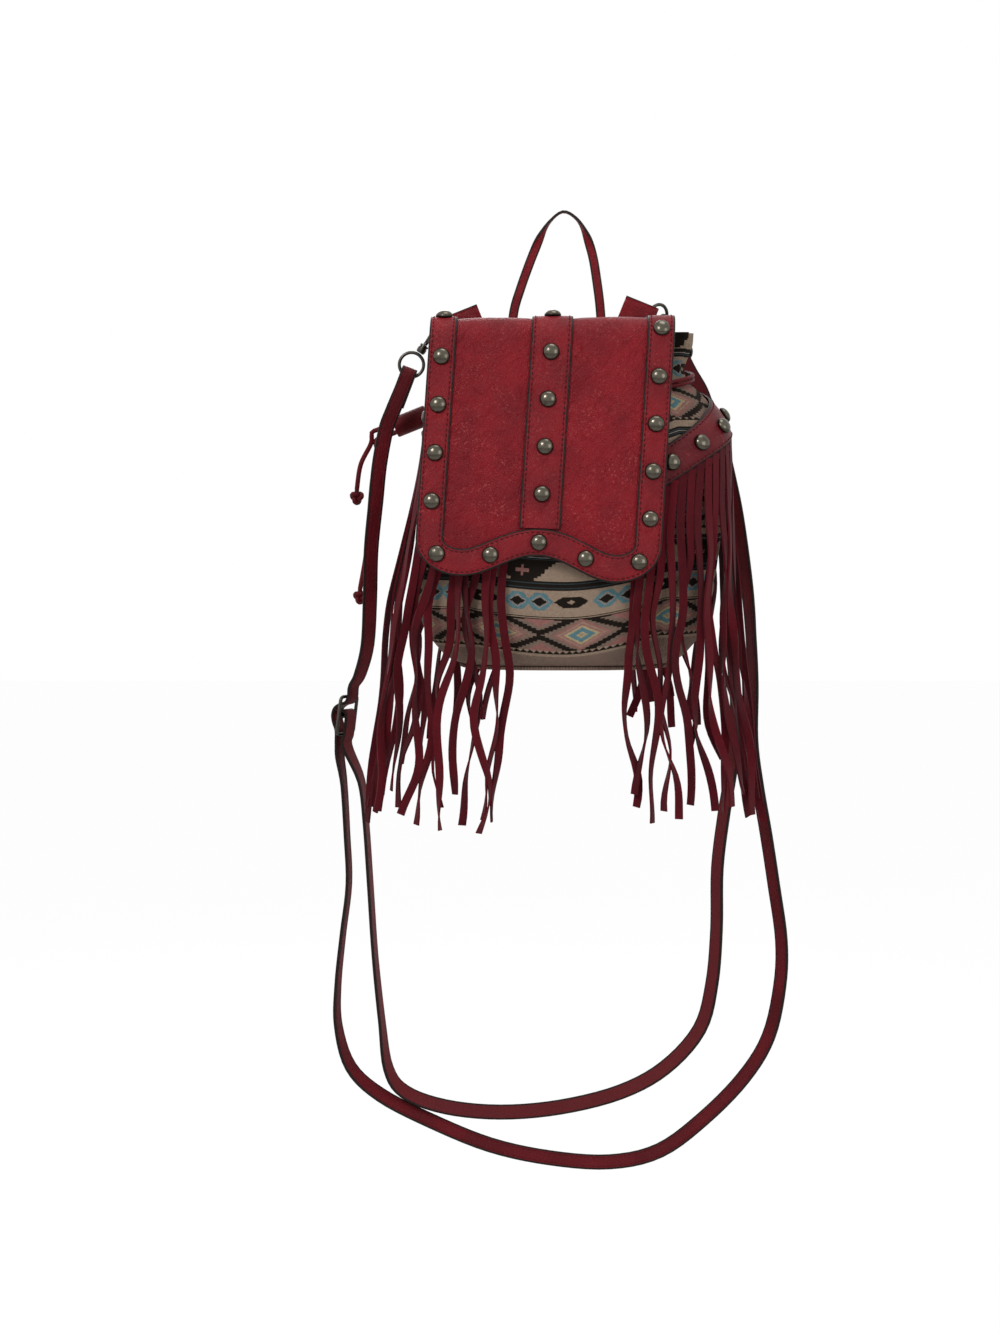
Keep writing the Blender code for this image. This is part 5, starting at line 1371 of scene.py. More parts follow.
V_LOBE = v_at_drop(LOBE_DROP)
V_NOTCH = v_at_drop(NOTCH_DROP)
V_CORNER = V_LOBE - CORNER_RISE


def flap_point(u, v, height=0.0):
    """Point at u across and v along the flap, raised by height; the flap hangs a little askew."""
    y, z, ny, nz = flap_section(v)
    drop = max(0.0, FLAP_TOP_Z - z)
    share = v / V_LOBE
    slope = FLAP_RISE * (1 - share) - FLAP_DROOP * share
    x = FLAP_X - FLAP_LEAN * drop + u
    return Vector((x, y + ny * height, z + nz * height + slope * u))


def flap_normal(v):
    _, _, ny, nz = flap_section(v)
    return Vector((0.0, ny, nz))


def flap_edge(u):
    """Length along the flap of its wavy lower edge, at u across."""
    side = abs(u)
    if side <= LOBE_U:
        return V_NOTCH + (V_LOBE - V_NOTCH) * (1 - math.cos(math.pi * side / LOBE_U)) / 2
    share = min(1.0, (side - LOBE_U) / (FLAP_HALF - LOBE_U))
    return V_CORNER + CORNER_RISE * math.sqrt(max(0.0, 1 - share**2))


def inner_offset(path, distance):
    """Path moved inwards by a distance, square to itself."""
    moved = []
    for i, (u, v) in enumerate(path):
        u0, v0 = path[max(i - 1, 0)]
        u1, v1 = path[min(i + 1, len(path) - 1)]
        du, dv = u1 - u0, v1 - v0
        size = math.hypot(du, dv)
        moved.append((u + dv / size * distance, v - du / size * distance))
    return moved


# %% Panel
FIELD_PUFF = 0.0010
FIELD_WRINKLE = 0.00022
FIELD_FADE = 0.02


def field_puff(u, v, edge):
    """Soft rise of the two bare fields between the trim, none under it."""
    side = (abs(u) - STRIP_HALF) / (FLAP_HALF - BORDER_WIDTH - STRIP_HALF)
    low = (edge - BORDER_WIDTH - v) / FIELD_FADE
    if side <= 0 or side >= 1 or low <= 0:
        return 0.0
    wrinkle = noise.noise(Vector((u * 60, v * 30, 3.1))) * FIELD_WRINKLE
    return (FIELD_PUFF * math.sin(math.pi * side) ** 0.6 + wrinkle) * min(1.0, low)


def make_panel():
    columns, rows = 88, 96
    across = [-FLAP_HALF * math.cos(math.pi * k / columns) for k in range(columns + 1)]
    verts, grids = [], []
    for lift in (0.0, -FLAP_THICK):
        grid = []
        for u in across:
            edge = flap_edge(u)
            line = []
            for r in range(rows + 1):
                v = edge * r / rows
                line.append(len(verts))
                verts.append(flap_point(u, v, lift + (field_puff(u, v, edge) if lift == 0.0 else 0.0)))
            grid.append(line)
        grids.append(grid)
    face, under = grids
    faces = []
    for c in range(columns):
        for r in range(rows):
            faces.append((face[c][r], face[c][r + 1], face[c + 1][r + 1], face[c + 1][r]))
            faces.append((under[c][r], under[c + 1][r], under[c + 1][r + 1], under[c][r + 1]))
    rim = [(c, 0) for c in range(columns)] + [(columns, r) for r in range(rows)]
    rim += [(c, rows) for c in range(columns, 0, -1)] + [(0, r) for r in range(rows, 0, -1)]
    for (c0, r0), (c1, r1) in zip(rim, rim[1:] + rim[:1]):
        faces.append((face[c0][r0], face[c1][r1], under[c1][r1], under[c0][r0]))
    border = {face[c][r] for c, r in rim} | {under[c][r] for c, r in rim}
    below = {i for line in under for i in line}
    marks = {label: [float(i in chosen) for i in range(len(verts))]
             for label, chosen in (("edge", border), ("back", below - border))}
    return finish_mesh(plain_object("flap_leather", verts, faces, panel_leather, marks=marks), 50)


flap_leather = make_panel()
print("flap:", round(V_LOBE, 3), "m from the seam to its lowest edge")


# %% Outline of the border
def flap_rows(end, steps):
    """Lengths along the flap over its top and its fold, then in even steps down to an end."""
    rows = [V_TOP_END * k / 10 for k in range(10)]
    rows += [V_TOP_END + (V_FRONT - V_TOP_END) * k / 12 for k in range(12)]
    return rows + [V_FRONT + (end - V_FRONT) * k / steps for k in range(steps + 1)]


def fine_outline():
    """Outer edge of the flap as (u, v) points from the left back corner to the right one."""
    half = []
    for k in range(21):
        turn = math.pi / 2 * k / 20
        half.append((LOBE_U + (FLAP_HALF - LOBE_U) * math.cos(turn), V_CORNER + CORNER_RISE * math.sin(turn)))
    for k in range(1, 25):
        u = LOBE_U * (1 - k / 24)
        half.append((u, flap_edge(u)))
    right = [(FLAP_HALF, v) for v in flap_rows(V_CORNER, 20)[:-1]] + half
    return [(-u, v) for u, v in right[:-1]] + right[::-1]


# %% Border and strip
def trim_solid(name, lines, width, mat):
    """Trim on the flap: each line gives its outer and its inner (u, v) point."""
    profile = strip_profile(width, TRIM_THICK, 0.0003)
    middle = GAP + TRIM_THICK / 2
    rings = []
    for (uo, vo), (ui, vi) in lines:
        ring = []
        for a, h, _, _ in profile:
            share = a / width + 0.5
            ring.append(flap_point(uo + (ui - uo) * share, vo + (vi - vo) * share, middle + h))
        rings.append(ring)
    return sweep_strip(name, rings, mat, profile)


outline = fine_outline()
border_lines = list(zip(outline, inner_offset(outline, BORDER_WIDTH)))
flap_border = trim_solid("flap_border_trim", border_lines, BORDER_WIDTH, trim_leather)
strip_rows = flap_rows(V_NOTCH - BORDER_WIDTH - GAP, 24)
strip_lines = [((-STRIP_HALF, v), (STRIP_HALF, v)) for v in strip_rows]
flap_strip = trim_solid("flap_strip_trim", strip_lines, 2 * STRIP_HALF, trim_leather)
print("border points:", len(outline))

# %% [markdown]
# ## The side bands
# A leather band wraps round each side, high at the back, and falls towards the front. It follows the
# body's surface at a small distance, and its lower edge is where the fringe is sewn in.

# %% Sizes of the bands
BAND_HALF_HEIGHT = 0.0125
BAND_THICK = 0.0015
BAND_OFFSET = 0.0007
BAND_END_Z = -0.120
BAND_FALL = 0.0788
BAND_DECAY = math.radians(43)
BAND_FRONT = math.radians(16.875)
BAND_BACK = math.radians(163.125)
BAND_STUDS = 6
BAND_STUD_FIRST = math.radians(30.7)
BAND_STUD_PITCH = 0.0235
STUD_R = 0.0052
STUD_H = 0.0036


def band_angles(steps):
    """Angles from one end of a band to the other."""
    return [BAND_FRONT + (BAND_BACK - BAND_FRONT) * k / steps for k in range(steps + 1)]


def band_level(angle):
    return BAND_END_Z - BAND_FALL * math.exp(-abs(angle) / BAND_DECAY)


def band_frame(angle, z, offset):
    """Point on the band and its outward normal, from the surface itself."""
    point = body_point(angle, z, offset)
    step = 0.01
    along = body_point(angle + step, z, offset) - body_point(angle - step, z, offset)
    up = body_point(angle, z + 0.002, offset) - body_point(angle, z - 0.002, offset)
    normal = along.cross(up).normalized()
    return point, normal


def band_solid(name, sign):
    profile = strip_profile(2 * BAND_HALF_HEIGHT, BAND_THICK)
    middle = BAND_OFFSET + BAND_THICK / 2
    rings = []
    for angle in band_angles(100):
        level = band_level(angle)
        rings.append([body_point(sign * angle, level + a, middle + h) for a, h, _, _ in profile])
    return sweep_strip(name, rings, band_leather, profile)


bands = {side: band_solid(f"band_{side}_leather", sign) for side, sign in (("left", -1), ("right", 1))}
print("bands:", sorted(bands))

# %% [markdown]
# ## Studs, stitches and strands with Geometry Nodes
# Three things repeat all over the bag: dome studs on points, stitches along lines and suede strands
# along paths. Each is one small node tree. Its source is a plain mesh of points or edges that carries
# the way out of the surface as an attribute, so that every copy stands the right way.


# %% Tree helper
def geometry_tree(name, sockets):
    tree = bpy.data.node_groups.new(name, "GeometryNodeTree")
    tree.interface.new_socket(name="Geometry", in_out="INPUT", socket_type="NodeSocketGeometry")
    for label, kind in sockets.items():
        tree.interface.new_socket(name=label, in_out="INPUT", socket_type=kind)
    tree.interface.new_socket(name="Geometry", in_out="OUTPUT", socket_type="NodeSocketGeometry")
    board = Board(tree)
    return board, board.add("NodeGroupInput").outputs, board.add("NodeGroupOutput").inputs


def close_tree(board, result, geometry, material):
    """Hands the geometry to the tree's output with its material."""
    painted = board.add("GeometryNodeSetMaterial", {"Geometry": geometry, "Material": material})
    board.feed(result["Geometry"], painted.outputs[0])


def grow(name, source, tree, **values):
    """Plain mesh object of what a tree makes from its source."""
    step = source.modifiers.new("grow", "NODES")
    step.node_group = tree
    for item in tree.interface.items_tree:
        label = item.name.replace(" ", "_")
        if item.in_out == "INPUT" and label in values:
            step[item.identifier] = values[label]
    return apply_modifiers(source, name)


def carrier(name, points, edges, **fields):
    """Points and edges with named vectors or numbers on them, for a tree to work on."""
    mesh = bpy.data.meshes.new(name)
    mesh.from_pydata([Vector(p) for p in points], edges, [])
    for label, values in fields.items():
        vector = hasattr(values[0], "__len__")
        field = mesh.attributes.new(label, "FLOAT_VECTOR" if vector else "FLOAT", "POINT")
        flat = [part for value in values for part in value] if vector else values
        field.data.foreach_set("vector" if vector else "value", flat)
    return new_object(name, mesh)


def facing_out(board, first="Z", vector=None, start=None, pivot="AUTO"):
    node = board.add("FunctionNodeAlignRotationToVector", {"Vector": vector}, axis=first, pivot_axis=pivot)
    if start is not None:
        board.feed(node.inputs["Rotation"], start)
    return node.outputs[0]


# %% Studs on points
stud_tree, given, result = geometry_tree("studs_on_points", {
    "Stud": "NodeSocketObject", "Material": "NodeSocketMaterial"})
out = stud_tree.way_out()
sockets = {"Object": given["Stud"]}
one = stud_tree.add("GeometryNodeObjectInfo", sockets, transform_space="ORIGINAL").outputs["Geometry"]
placed = stud_tree.add("GeometryNodeInstanceOnPoints", {
    "Points": given["Geometry"], "Instance": one, "Rotation": facing_out(stud_tree, vector=out)}).outputs[0]
real = stud_tree.add("GeometryNodeRealizeInstances", {"Geometry": placed}).outputs[0]
close_tree(stud_tree, result, real, given["Material"])


def dome_pattern():
    """One dome: a short skirt whose rim is marked dark for painted shade and some tarnish, then a low round
    cap.
    """
    profile = [(0.0, -0.0004), (STUD_R * 0.80, -0.0004), (STUD_R * 0.99, 0.0), (STUD_R * 1.0, 0.00045)]
    for k in range(1, 9):
        turn = math.pi / 2 * k / 9
        profile.append((STUD_R * 0.97 * math.cos(turn), 0.00055 + (STUD_H - 0.00055) * math.sin(turn)))
    profile.append((0.0, STUD_H))
    sides = 32
    obj = lathe_mesh("dome_pattern", profile, sides, pewter, (0, 0, 0), (0, 0, 1))
    rim = obj.data.attributes.new("rim", "FLOAT", "POINT")
    # The foot of the dome is marked dark: painted shade where the leather shades it, with some tarnish.
    dark = [max(1.0 * (v.co.z < 0.0008), 0.55 * (v.co.z < 0.0012)) for v in obj.data.vertices]
    rim.data.foreach_set("value", dark)
    return obj


def stud_spots():
    """The twenty places on the flap: down both sides, down the middle and along the wavy edge."""
    column = FLAP_HALF - BORDER_WIDTH / 2
    spots = [(-column, LEFT_FIRST + k * LEFT_PITCH) for k in range(SIDE_STUDS)]
    spots += [(column, RIGHT_FIRST + k * RIGHT_PITCH) for k in range(SIDE_STUDS)]
    spots += [(0.0, CENTRE_FIRST + k * CENTRE_PITCH) for k in range(CENTRE_STUDS)]
    middle = inner_offset(outline, BORDER_WIDTH / 2)
    spots.append(middle[len(middle) // 2])
    low = max(middle, key=lambda p: p[0] * 0.75 + p[1])
    near = min(middle, key=lambda p: abs(p[0] - BOTTOM_STUD_U) + (p[1] < V_CORNER))
    spots += [(sign * u, v) for u, v in (low, near) for sign in (-1, 1)]
    return spots


# %% Place the studs
CENTRE_STUDS = 5
CENTRE_FIRST = 0.072
CENTRE_PITCH = 0.0289
SIDE_STUDS = 5
LEFT_FIRST = 0.074
LEFT_PITCH = 0.030
RIGHT_FIRST = 0.087
RIGHT_PITCH = 0.0284
BOTTOM_STUD_U = 0.0288
STUD_LIFT = 0.0004

dome = dome_pattern()
seat = GAP + TRIM_THICK + STUD_LIFT
spots = stud_spots()
points = [flap_point(u, v, seat) for u, v in spots]
source = carrier("flap_stud_points", points, [], out=[tuple(flap_normal(v)) for _, v in spots])
flap_studs = grow("flap_studs", source, stud_tree.tree, Stud=dome, Material=pewter)


BAND_STUD_LIFT = 0.0006


def band_spots():
    seat = BAND_OFFSET + BAND_THICK + BAND_STUD_LIFT
    points, ways = [], []
    for sign in (-1, 1):
        angle = BAND_STUD_FIRST
        for _ in range(BAND_STUDS):
            point, normal = band_frame(sign * angle, band_level(angle), seat)
            points.append(point)
            ways.append(tuple(normal))
            gone, last = 0.0, body_point(angle, band_level(angle))
            while gone < BAND_STUD_PITCH:
                angle += math.radians(0.25)
                here = body_point(angle, band_level(angle))
                gone += (here - last).length
                last = here
    return points, ways


points, ways = band_spots()
source = carrier("band_stud_points", points, [], out=ways)
band_studs = grow("band_studs", source, stud_tree.tree, Stud=dome, Material=pewter)
bpy.data.objects.remove(dome, do_unlink=True)
print("studs on the flap:", len(spots), "on the bands:", len(points))

# %% Stitches along lines
stitch_tree, given, result = geometry_tree("stitches_along_lines", {
    "Pitch": "NodeSocketFloat", "Length": "NodeSocketFloat", "Width": "NodeSocketFloat",
    "Depth": "NodeSocketFloat", "Material": "NodeSocketMaterial"})
line = stitch_tree.add("GeometryNodeMeshToCurve", {"Mesh": given["Geometry"]}).outputs[0]
sockets = {"Curve": line, "Length": given["Pitch"]}
line = stitch_tree.add("GeometryNodeResampleCurve", sockets, mode="LENGTH").outputs[0]
out = stitch_tree.way_out()
ahead = stitch_tree.add("GeometryNodeInputTangent").outputs[0]
turn = facing_out(stitch_tree, "X", ahead)
turn = facing_out(stitch_tree, "Z", out, turn, "X")
bead = stitch_tree.add("GeometryNodeMeshUVSphere", {"Segments": 6, "Rings": 4, "Radius": 0.5}).outputs[0]
sockets = {0: given["Length"], 1: given["Width"], 2: given["Depth"]}
size = stitch_tree.add("ShaderNodeCombineXYZ", sockets).outputs[0]
laid = stitch_tree.add("GeometryNodeInstanceOnPoints", {
    "Points": line, "Instance": bead, "Rotation": turn, "Scale": size}).outputs[0]
real = stitch_tree.add("GeometryNodeRealizeInstances", {"Geometry": laid}).outputs[0]
close_tree(stitch_tree, result, real, given["Material"])


STITCH_PITCH = 0.0032
STITCH_SHARE = 0.66
STITCH_WIDTH = 0.00085
STITCH_DEPTH = 0.0009
STRAP_STITCH_PITCH = 0.0036
STITCH_FACES = 24
STITCH_LIFT = 0.0001


class Seams:
    """Lines of stitches that are sewn in one go."""

    def __init__(self):
        self.points, self.edges, self.ways = [], [], []

    def line(self, points, ways):
        first = len(self.points)
        self.points += points
        self.ways += [tuple(way) for way in ways]
        self.edges += [(k, k + 1) for k in range(first, len(self.points) - 1)]

    def sew(self, name, depth=STITCH_DEPTH, pitch=STITCH_PITCH):
        source = carrier(name + "_lines", self.points, self.edges, out=self.ways)
        sewn = grow(name, source, stitch_tree.tree, Pitch=pitch, Length=pitch * STITCH_SHARE,
                    Width=STITCH_WIDTH, Depth=depth, Material=thread_red)
        print(name, len(sewn.data.polygons) // STITCH_FACES)
        return sewn


# %% Sew the flap
seams = Seams()
seat = GAP + TRIM_THICK + STITCH_LIFT
for inset in (STITCH_INSET, BORDER_WIDTH - STITCH_INSET):
    line = inner_offset(outline, inset)
    seams.line([flap_point(u, v, seat) for u, v in line], [flap_normal(v) for _, v in line])
for side in (-1, 1):
    u = side * (STRIP_HALF - STITCH_INSET)
    seams.line([flap_point(u, v, seat) for v in strip_rows], [flap_normal(v) for v in strip_rows])
flap_stitches = seams.sew("flap_stitches")

# %% Sew the strap: a stitch goes right through it, so one bead shows on both faces
seams = Seams()
for side in (-1, 1):
    offset = side * (STRAP_WIDTH / 2 - STITCH_INSET)
    seams.line([m + a * offset for m, a, _, _ in strap_line], [o for _, _, o, _ in strap_line])
strap_stitches = seams.sew("strap_stitches", depth=STRAP_THICK + 2 * STITCH_LIFT, pitch=STRAP_STITCH_PITCH)

# %% [markdown]
# ## The fringe
# The fringe is one strip of suede that is cut into strands nearly up to the band. Each strand hangs
# from the widest part above it, spreads a little, waves and turns about itself. The path of a strand
# is a rule with a few seeded numbers, and the node tree sweeps the strand's flat cut along it.

# %% Sizes of the strands
STRAND_PITCH = 0.0068
STRAND_WIDTH = 0.0050
SUEDE = 0.0012
HEADER = 0.009
HEADER_SHOWN = 0.6
STRAND_STEPS = 8
STRAND_LAYER = 0.0026
STRAND_TIP_Z = -0.372
STRAND_BACK_TIP_Z = -0.312
STRAND_FLARE = 1.32
FLARE_PIVOT = 0.035
STRAND_LAYERS = 3
STRAND_STAND = 0.0012
STRAND_SWING = (0.0028, 0.0054)
STRAND_TURNS = (1.1, 2.1)
STRAND_LEAN = 0.0045
STRAND_UNEVEN = (-0.016, 0.010)
STRAND_SPACING = 0.0055


# %% Paths of the strands
def hang_point(angle, top, z, offset):
    """Point of a strand that hangs from level top: it rests on the widest part above it."""
    low = max(z, BODY_LEVELS[0][0])
    samples = [low + (top - low) * k / 8 for k in range(9)]
    sizes = [hermite(BODY_LEVELS, s) for s in samples]
    half_width = max(s[0] for s in sizes)
    depth = max(s[1] for s in sizes)
    x, y = plan_point(angle, half_width, depth)
    nx, ny = plan_normal(angle, half_width, depth)
    return Vector((x + nx * offset, y + ny * offset, z))


def smooth_step(t):
    t = min(1.0, max(0.0, t))
    return t * t * (3 - 2 * t)


def strand_angles():
    """Angles of the two edges of each strand, at equal pitch along the band's lower edge."""
    fine = math.radians(0.2)
    marks = []
    angle = BAND_FRONT
    gone = 0.0
    last = body_point(angle, band_level(angle) - BAND_HALF_HEIGHT)
    target = 0.0
    while angle < BAND_BACK:
        if gone >= target:
            marks.append(angle)
            even = len(marks) % 2
            target += STRAND_WIDTH if even else STRAND_PITCH - STRAND_WIDTH
        angle += fine
        here = body_point(angle, band_level(angle) - BAND_HALF_HEIGHT)
        gone += (here - last).length
        last = here
    if len(marks) % 2:
        marks.pop()
    return marks


def strand_path(angle, index, rng):
    """Centres of one strand below its header down to its tip, with the width direction."""
    top = band_level(angle) - BAND_HALF_HEIGHT - HEADER
    ahead = hang_point(angle + 0.03, top, top, 0.0)
    width = (ahead - hang_point(angle - 0.03, top, top, 0.0)).normalized()
    backness = smooth_step((angle - 1.7) / 0.9)
    tip_z = STRAND_TIP_Z * (1 - backness) + STRAND_BACK_TIP_Z * backness
    tip_z += rng.uniform(*STRAND_UNEVEN)
    layer = index % STRAND_LAYERS
    phase = rng.uniform(0, 2 * math.pi)
    swing = rng.uniform(*STRAND_SWING)
    turns = rng.uniform(*STRAND_TURNS)
    lean = rng.uniform(-STRAND_LEAN, STRAND_LEAN)
    flare = (STRAND_FLARE - 1) * (1 - backness)
    points = []
    for k in range(1, STRAND_STEPS + 1):
        t = k / STRAND_STEPS
        z = top + (tip_z - top) * t
        spread = smooth_step(t / 0.45)
        offset = BAND_OFFSET + SUEDE / 2 + STRAND_STAND * min(1, t * 6) + layer * STRAND_LAYER * spread
        point = hang_point(angle, top, z, offset)
        drift = (point.x - FLARE_PIVOT) * flare * t**1.4
        wave = swing * spread * math.sin(2 * math.pi * turns * t + phase) + lean * t**1.5
        point += Vector((drift, 0, 0)) + width * wave
        points.append(point)
    return points, width


def strand_line(angle, index, rng, own):
    """Fine path of one strand, from inside its header to its tip, with the way its face looks."""
    points, width = strand_path(angle, index, rng)
    edge = band_level(angle) - BAND_HALF_HEIGHT
    middle = BAND_OFFSET + SUEDE / 2
    first = upright_point(angle, edge - GAP, middle)
    second = hang_point(angle, edge, edge - HEADER, middle)
    path = catmull([first, second] + points, STRAND_SPACING)
    face = Vector((width.y, -width.x, 0)).normalized()
    wave, bend = own.uniform(0.0006, 0.0022), own.uniform(2.2, 4.2)
    start, twist = own.uniform(0, 6.28), own.uniform(-2.4, 2.4)
    curl = own.uniform(0.4, 1.3)
    line, ways = [], []
    for i, point in enumerate(path):
        t = i / (len(path) - 1)
        loose = smooth_step((t - 0.10) / 0.5)
        point = point + width * (wave * loose * math.sin(2 * math.pi * bend * t + start))
        point = point + face * (0.4 * wave * loose * math.sin(2 * math.pi * bend * 0.8 * t + 2 * start))
        along = way_at(path, i)
        angle_here = loose * (twist * t + curl * math.sin(2 * math.pi * 1.3 * t + start))
        line.append(point)
        ways.append(Quaternion(along, angle_here) @ face)
    return line, ways


# %% Strands along paths
strand_tree, given, result = geometry_tree("strands_along_paths", {
    "Width": "NodeSocketFloat", "Thickness": "NodeSocketFloat", "Material": "NodeSocketMaterial"})
line = strand_tree.add("GeometryNodeMeshToCurve", {"Mesh": given["Geometry"]}).outputs[0]
out = strand_tree.way_out()
line = strand_tree.add("GeometryNodeSetCurveNormal", {"Curve": line, "Normal": out}, mode="FREE").outputs[0]
cut = strand_tree.add("GeometryNodeCurvePrimitiveQuadrilateral", {
    "Width": given["Thickness"], "Height": given["Width"]}, mode="RECTANGLE").outputs[0]
body = strand_tree.add("GeometryNodeCurveToMesh", {
    "Curve": line, "Profile Curve": cut, "Fill Caps": True}).outputs[0]
close_tree(strand_tree, result, body, given["Material"])


def header_strip(name, sign):
    """The uncut top of the fringe, just under the band."""
    rings = []
    for angle in band_angles(90):
        edge = band_level(angle) - BAND_HALF_HEIGHT
        ring = []
        high, low = edge - GAP, edge - HEADER * HEADER_SHOWN
        for level, offset in ((high, SUEDE), (low, SUEDE), (low, 0.0), (high, 0.0)):
            point = upright_point(angle, level, BAND_OFFSET + offset - 0.0001)
            ring.append(Vector((sign * point.x, point.y, point.z)) + sway(point.z))
        rings.append(ring)
    along = run_lengths([ring[0] for ring in rings])
    return sweep(name, rings, suede, along, [0.0, 0.0055, 0.0068, 0.0123, 0.0136])


def make_strands(side, sign, seed):
    rng, own = random.Random(seed), random.Random(seed + 100)
    marks = strand_angles()
    points, edges, ways, tones = [], [], [], []
    area = 0.0
    for i in range(len(marks) // 2):
        angle = (marks[2 * i] + marks[2 * i + 1]) / 2
        line, faces = strand_line(angle, i, rng, own)
        tone = own.uniform(0.25, 1.0)
        first = len(points)
        for point, face in zip(line, faces):
            points.append(Vector((sign * point.x, point.y, point.z)) + sway(point.z))
            ways.append((sign * face.x, face.y, face.z))
            tones.append(tone)
        edges += [(k, k + 1) for k in range(first, len(points) - 1)]
        area += run_lengths(line)[-1] * STRAND_WIDTH
    source = carrier(f"fringe_{side}_paths", points, edges, out=ways, tone=tones)
    strands = grow(f"fringe_{side}_strands", source, strand_tree.tree, Width=STRAND_WIDTH,
                   Thickness=SUEDE, Material=suede)
    finish_mesh(strands, 30)
    return strands, area


fringes = {}
for side, sign, seed in (("left", -1, 7), ("right", 1, 19)):
    strands, area = make_strands(side, sign, seed)
    header = header_strip(f"fringe_{side}_header", sign)
    span = run_lengths([upright_point(angle, WIDEST_Z) for angle in band_angles(60)])[-1]
    area += span * HEADER * HEADER_SHOWN
    fringes[side] = (join(f"fringe_{side}_suede", [strands, header]), area, span)
    print("fringe", side, "suede", round(area, 4), "m2, span", round(span, 3), "m")

# %% [markdown]
# ## Yoke, loop and tabs
# The back edge is held by a narrow leather yoke. The hang loop is one thin strip whose feet are sewn
# behind the yoke, and each tab is a tapered strip that is folded round a ring and sewn to itself.


# %% Yoke and hang loop
LOOP_SHAPE = [
    (-0.0315, -0.0629), (-0.0275, -0.0489), (-0.0211, -0.0311), (-0.0147, -0.0158), (-0.0085, -0.0055),
    (0.0, 0.0008), (0.0085, -0.0035), (0.0143, -0.0127), (0.0189, -0.0266), (0.0217, -0.0425),
    (0.0240, -0.0604),
]
LOOP_FOOT_Z = -0.083

hinge_z = flap_point(0.0, 0.0, -FLAP_THICK / 2).z
yoke_line = []
for k in range(31):
    u = -YOKE_HALF + 2 * YOKE_HALF * k / 30
    z = hinge_z + FLAP_RISE * u - YOKE_DROP - YOKE_HEIGHT / 2
    middle = Vector((FLAP_X + u, BACK_Y + GAP + YOKE_THICK / 2, z))
    yoke_line.append((middle, Vector((0, 0, 1)), Vector((0, 1, 0)), 1.0))
yoke = strip_solid("yoke_leather", yoke_line, YOKE_HEIGHT, YOKE_THICK, trim_leather)

left_foot, right_foot = LOOP_FEET
route = [(left_foot, LOOP_FOOT_Z)] + LOOP_SHAPE + [(right_foot, LOOP_FOOT_Z)]
loop_path = catmull([(x, LOOP_Y, z) for x, z in route], CORD_SPACING)
loop_line = []
for i, point in enumerate(loop_path):
    along = way_at(loop_path, i)
    flat = along.cross(Vector((0, 1, 0))).normalized() * -1
    apex = smooth_step(1 - abs(point.z) / 0.030)
    way = Vector((0, 1, 0)).lerp(flat, 1 - apex).normalized()
    loop_line.append((point, way, way.cross(along).normalized(), 1.0))
loop = strip_solid("hang_loop_leather", loop_line, LOOP_WIDTH, LOOP_THICK, trim_leather)
print("hang loop:", round(run_lengths(loop_path)[-1], 3), "m of strip")


# %% Tabs
def tab_solid(side, sign):
    outward, across, fold, reach, _, _ = hardware_frame(sign)
    back = Vector((0, 1, 0))
    bend = TAB_BEND + TAB_THICK / 2
    middle = fold + reach * (TAB_BEND - RING_WIRE - LAYER_GAP)
    tail = fold - outward * TAB_LENGTH - across * TAB_SINK
    front_y = BACK_Y + GAP + YOKE_THICK + GAP + TAB_THICK / 2
    back_y = front_y + TAB_THICK + GAP
    arc = []
    for k in range(25):
        turn = math.pi * k / 24
        way = outward * math.sin(turn) - back * math.cos(turn)
        arc.append((middle + way * bend, across, way, TAB_NOSE / TAB_TAIL))
    start = (Vector((tail.x, front_y, tail.z)), across, -back, 1.0)
    end = (Vector((tail.x, back_y, tail.z)), across, back, 1.0)

    def between(a, b, steps):
        return [(a[0].lerp(b[0], k / steps), across, a[2].lerp(b[2], k / steps).normalized(),
                 a[3] + (b[3] - a[3]) * k / steps) for k in range(steps)]

    line = between(start, arc[0], 6) + arc[:-1] + between(arc[-1], end, 6) + [end]
    return strip_solid(f"tab_{side}_leather", line, 2 * TAB_TAIL, TAB_THICK, trim_leather)


tabs = {side: tab_solid(side, sign) for side, sign in (("left", -1), ("right", 1))}

# %% Sew the bands and the yoke
seams = Seams()
for sign in (-1, 1):
    for lift in (-1, 1):
        points, ways = [], []
        for angle in band_angles(100):
            level = band_level(angle) + lift * (BAND_HALF_HEIGHT - STITCH_INSET)
            point, normal = band_frame(sign * angle, level, BAND_OFFSET + BAND_THICK + STITCH_LIFT)
            points.append(point)
            ways.append(normal)
        seams.line(points, ways)
for lift in (-1, 1):
    offset = lift * (YOKE_HEIGHT / 2 - STITCH_INSET)
    points = [m + a * offset + o * (YOKE_THICK / 2) for m, a, o, _ in yoke_line]
    seams.line(points, [o for _, _, o, _ in yoke_line])
bag_stitches = seams.sew("bag_stitches")

# %% [markdown]
# ## Rings, hooks and gates
# The hardware is bent wire: a ring in each tab, a snap hook on the ring with a barrel and a spring
# gate, and an eye for the strap. Tubes along a path give the wires, and the barrels are turned.

# %% Sizes of the hooks
HOOK_WIRE = 0.0014
HOOK_BEND_R = 0.0042
HOOK_PLAY = 0.0008
HOOK_TIP = 0.0025
HOOK_NECK = 0.8
HOOK_SHOULDER = 0.5
BARREL_R = 0.0030
BARREL_LENGTH = 0.0060
GATE_WIRE = 0.0009
RING_STEPS = 56


# %% Wire rings
def wire_ring(name, centre, axis, radius, wire):
    turn = Vector((0, 0, 1)).rotation_difference(Vector(axis).normalized())
    points = []
    for k in range(RING_STEPS):
        a = 2 * math.pi * k / RING_STEPS
        points.append(centre + turn @ Vector((radius * math.cos(a), radius * math.sin(a), 0)))
    return round_solid(name, points, wire, gunmetal, 12, closed=True)


